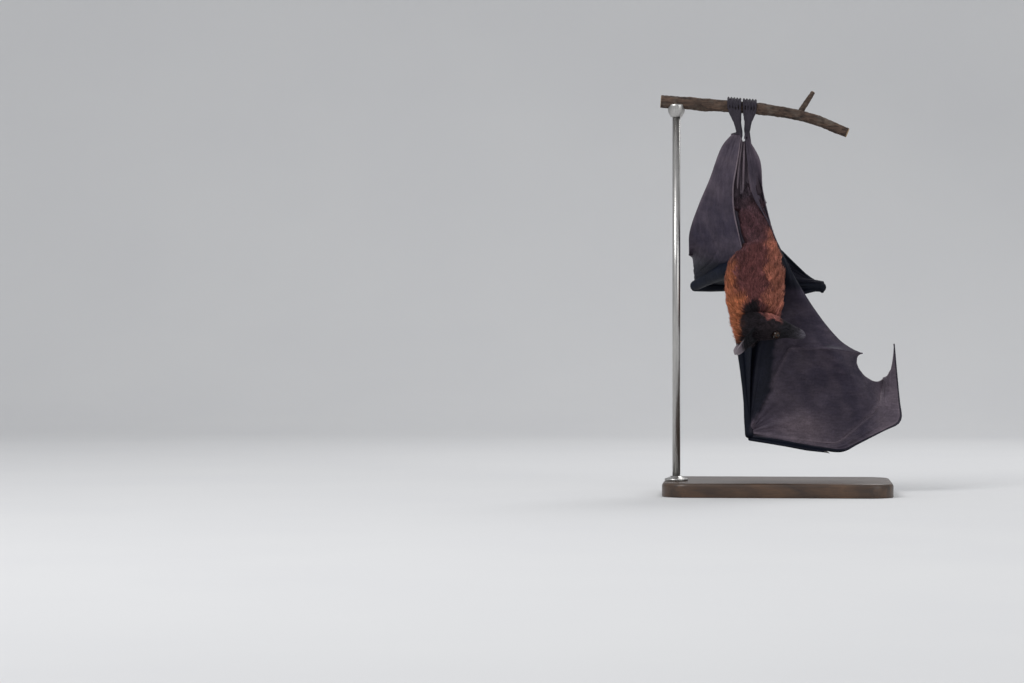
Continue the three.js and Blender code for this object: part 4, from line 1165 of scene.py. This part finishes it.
class Nodes:
    """A short way to write the nodes of a material and give it to objects."""

    def __init__(self, name, objects):
        material = bpy.data.materials.new(name)
        material.use_nodes = True
        self.tree = material.node_tree
        self.shader = self.tree.nodes["Principled BSDF"]
        self.place = self.add("TexCoord", "Object")
        for made in objects:
            made.data.materials.append(material)

    def put(self, socket, value):
        if isinstance(value, bpy.types.NodeSocket):
            self.tree.links.new(value, socket)
        else:
            socket.default_value = (*value, 1) if socket.type == "RGBA" else value

    def add(self, kind, output, inputs=None, **settings):
        """Adds a node and gives one of its outputs. Inputs and output go by name or number."""
        node = self.tree.nodes.new("ShaderNode" + kind)
        for key, value in settings.items():
            setattr(node, key, value)
        for key, value in (inputs or {}).items():
            self.put(node.inputs[key], value)
        return node.outputs[output]

    def finish(self, **values):
        """Sets the shader's inputs, with their names' spaces written as underscores."""
        for key, value in values.items():
            self.put(self.shader.inputs[key.replace("_", " ")], value)

    def layer(self, name, output="Color"):
        return self.add("Attribute", output, attribute_name=name)

    def noise(self, scale, detail=3, roughness=0.6, stretch=None, distortion=0.0):
        place = self.place
        if stretch:
            place = self.add("Mapping", "Vector", {"Vector": place, "Scale": stretch})
        return self.add("TexNoise", "Fac", {"Vector": place, "Scale": scale, "Detail": detail,
                                            "Roughness": roughness, "Distortion": distortion})

    def range(self, value, to_low, to_high, low=0.3, high=0.7):
        """Turns low to high, which by default is the usual reach of a noise, into to_low to to_high."""
        return self.add("MapRange", "Result", {"Value": value, "From Min": low, "From Max": high,
                                               "To Min": to_low, "To Max": to_high})

    def maths(self, operation, a, b=0.0):
        return self.add("Math", 0, {0: a, 1: b}, operation=operation)

    def product(self, value, *factors):
        for factor in factors:
            value = self.maths("MULTIPLY", value, factor)
        return value

    def weighed(self, a, share_a, b, share_b):
        return self.maths("ADD", self.product(a, share_a), self.product(b, share_b))

    def blend(self, share, a, b, kind="MIX"):
        return self.add("Mix", 2, {0: share, 6: a, 7: b}, data_type="RGBA", blend_type=kind)

    def shaded(self, tone, colour=None):
        """A colour, by default the mesh's own tint, times a number."""
        grey = self.add("CombineColor", 0, {0: tone, 1: tone, 2: tone})
        return self.blend(1.0, colour or self.layer("tint"), grey, "MULTIPLY")

    def bump(self, height, strength, distance):
        bumps = self.add("Bump", "Normal", {"Height": height, "Strength": strength, "Distance": distance})
        self.finish(Normal=bumps)


def skin_material(*objects):
    """Bare skin is smoother than skin under hair. Fine lines cross the wings and run up the legs."""
    m = Nodes("skin", objects)
    bare = m.layer("bare", "Fac")
    grain = m.noise(420, 5, 0.65)
    patches = m.noise(55, 4)
    veins = m.maths("ABSOLUTE", m.maths("SUBTRACT", m.noise(95, 3, 0.5, distortion=1.2), 0.5))
    wrinkle = m.noise(330, 3, 0.55, (0.30, 0.6, 1.0), 0.6)
    gather = m.noise(260, 3, 0.55, (1.0, 0.6, 0.14), 0.5)
    height = m.range(m.add("SeparateXYZ", "Z", {0: m.place}), 0, 1, 0.235, 0.275)
    lines = m.add("Mix", 0, {0: height, 2: wrinkle, 3: gather})
    tone = m.product(m.range(grain, 0.85, 1.15), m.range(patches, 0.86, 1.16),
                     m.range(lines, 0.84, 1.17), m.range(veins, 0.86, 1.0, 0.0, 0.02))
    m.finish(Base_Color=m.shaded(tone), Specular_IOR_Level=m.range(bare, 0.06, 0.13, 0, 1),
             Roughness=m.range(m.weighed(bare, -0.34, grain, 0.2), 0.46, 1.0, -0.34, 0.2))
    m.bump(m.weighed(lines, 0.8, m.noise(1500), 0.25), 0.6, 0.0010)


def fur_material(*objects):
    m = Nodes("fur", objects)
    streak = m.noise(900)
    tone = m.product(m.range(streak, 0.72, 1.3), m.range(m.noise(70), 0.85, 1.15))
    m.finish(Base_Color=m.shaded(tone), Roughness=m.range(streak, 0.5, 0.72),
             Specular_IOR_Level=0.16)
    m.bump(streak, 0.35, 0.0004)


def eye_material(*objects):
    m = Nodes("eye", objects)
    m.finish(Base_Color=m.shaded(m.range(m.noise(1400), 0.8, 1.2)), Roughness=0.16,
             Coat_Weight=0.12, Coat_Roughness=0.04, Specular_IOR_Level=0.25)


def claw_material(*objects):
    m = Nodes("claw", objects)
    rings = m.noise(1100, stretch=(0.3, 0.3, 1.0))
    horn = m.blend(m.range(rings, 0, 1, 0.35, 0.65), (0.010, 0.008, 0.008), (0.034, 0.027, 0.024))
    m.finish(Base_Color=horn, Roughness=m.range(rings, 0.26, 0.44), Specular_IOR_Level=0.5)
    m.bump(rings, 0.25, 0.0003)


def bark_material(*objects):
    m = Nodes("bark", objects)
    fissure = m.noise(240, 6, 0.68, (0.25, 1.0, 1.0), 0.8)
    bark = m.blend(m.range(fissure, 0, 1, 0.34, 0.66), (0.018, 0.012, 0.010), (0.105, 0.068, 0.050))
    bark = m.blend(m.range(m.noise(75, 4), 0, 0.55, 0.5, 0.72), bark, (0.120, 0.105, 0.088))
    wood = m.blend(m.noise(500, 4), (0.30, 0.19, 0.10), (0.42, 0.30, 0.17))
    m.finish(Base_Color=m.blend(m.layer("cut", "Fac"), bark, wood), Specular_IOR_Level=0.25,
             Roughness=m.range(fissure, 0.72, 0.92))
    m.bump(m.weighed(fissure, 0.7, m.noise(900, 4), 0.3), 0.7, 0.0012)


def wood_material(*objects):
    m = Nodes("stand_wood", objects)
    grain = m.noise(70, 6, 0.62, (0.12, 1.0, 0.5), 1.4)
    pore = m.noise(900, 3, 0.7, (0.06, 1.0, 1.0))
    wood = m.blend(m.range(grain, 0, 1, 0.32, 0.68), (0.022, 0.011, 0.006), (0.085, 0.042, 0.020))
    m.finish(Base_Color=m.shaded(m.range(pore, 0.72, 1.08, 0.35, 0.6), wood), Coat_Weight=0.25,
             Coat_Roughness=0.25, Roughness=m.range(pore, 0.40, 0.5))
    m.bump(pore, 0.12, 0.0003)


def metal_material(*objects):
    m = Nodes("stand_metal", objects)
    brushed = m.noise(1300, 4, 0.7, (1.0, 1.0, 0.03))
    steel = m.blend(m.range(brushed, 0, 1), (0.36, 0.35, 0.34), (0.56, 0.55, 0.53))
    m.finish(Base_Color=steel, Metallic=1.0, Roughness=m.range(brushed, 0.24, 0.4))
    m.bump(brushed, 0.08, 0.0002)


def studio_material(*objects):
    m = Nodes("studio", objects)
    pale = m.blend(m.noise(3, 3, 0.5), (0.66, 0.66, 0.67), (0.70, 0.70, 0.70))
    m.finish(Base_Color=pale, Roughness=0.9, Specular_IOR_Level=0.1)


skin_material(bat_skin)
fur_material(*coat)
eye_material(*eyes)
claw_material(*claws)
bark_material(perch)
wood_material(board)
metal_material(*metal)

# ---- Floor, light and camera

SCENE = bpy.context.scene


def backdrop():
    """A pale sweep: a floor that curves up into a wall far behind."""
    profile = [(-7.0, 0.0), (-3.0, 0.0), (0.0, 0.0), (2.2, 0.0)]
    profile += [(2.2 + 1.4 * sin(a), 1.4 - 1.4 * cos(a)) for a in np.linspace(0.1, pi / 2, 14)]
    profile += [(3.6, 3.0), (3.6, 6.0)]
    verts = [(x, y, z) for y, z in profile for x in (-8.0, 8.0)]
    faces = [(i, i + 1, i + 3, i + 2) for i in range(0, len(verts) - 2, 2)]
    sweep = make_object("studio_sweep", verts, faces)
    studio_material(sweep)


def aimed(name, data, place, target):
    """A lamp or camera at a place, aimed at a target."""
    made = bpy.data.objects.new(name, data)
    made.location = place
    made.rotation_euler = (Vector(target) - Vector(place)).to_track_quat("-Z", "Y").to_euler()
    bpy.context.collection.objects.link(made)
    return made


backdrop()
for name, place, width, power in (("key", (-1.7, -2.1, 2.4), 1.6, 52), ("fill", (2.4, -2.2, 1.2), 2.0, 18),
                                  ("back_light", (0.6, 1.5, 2.2), 1.4, 22)):
    lamp = bpy.data.lights.new(name, "AREA")
    lamp.shape, lamp.size, lamp.energy = "DISK", width, power
    aimed(name, lamp, place, target=(0.0, -0.03, 0.28))

world = bpy.data.worlds.new("studio_air")
world.use_nodes = True
air = world.node_tree.nodes["Background"].inputs
air["Color"].default_value = (0.95, 0.97, 1.0, 1)
air["Strength"].default_value = 0.55
SCENE.world = world
SCENE.view_settings.view_transform = "Standard"

lens = bpy.data.cameras.new("camera")
lens.lens, lens.sensor_width = 110, 36
SCENE.camera = aimed("camera", lens, place=(0.0, -4.01, 0.21), target=(-0.337, -0.038, 0.195))
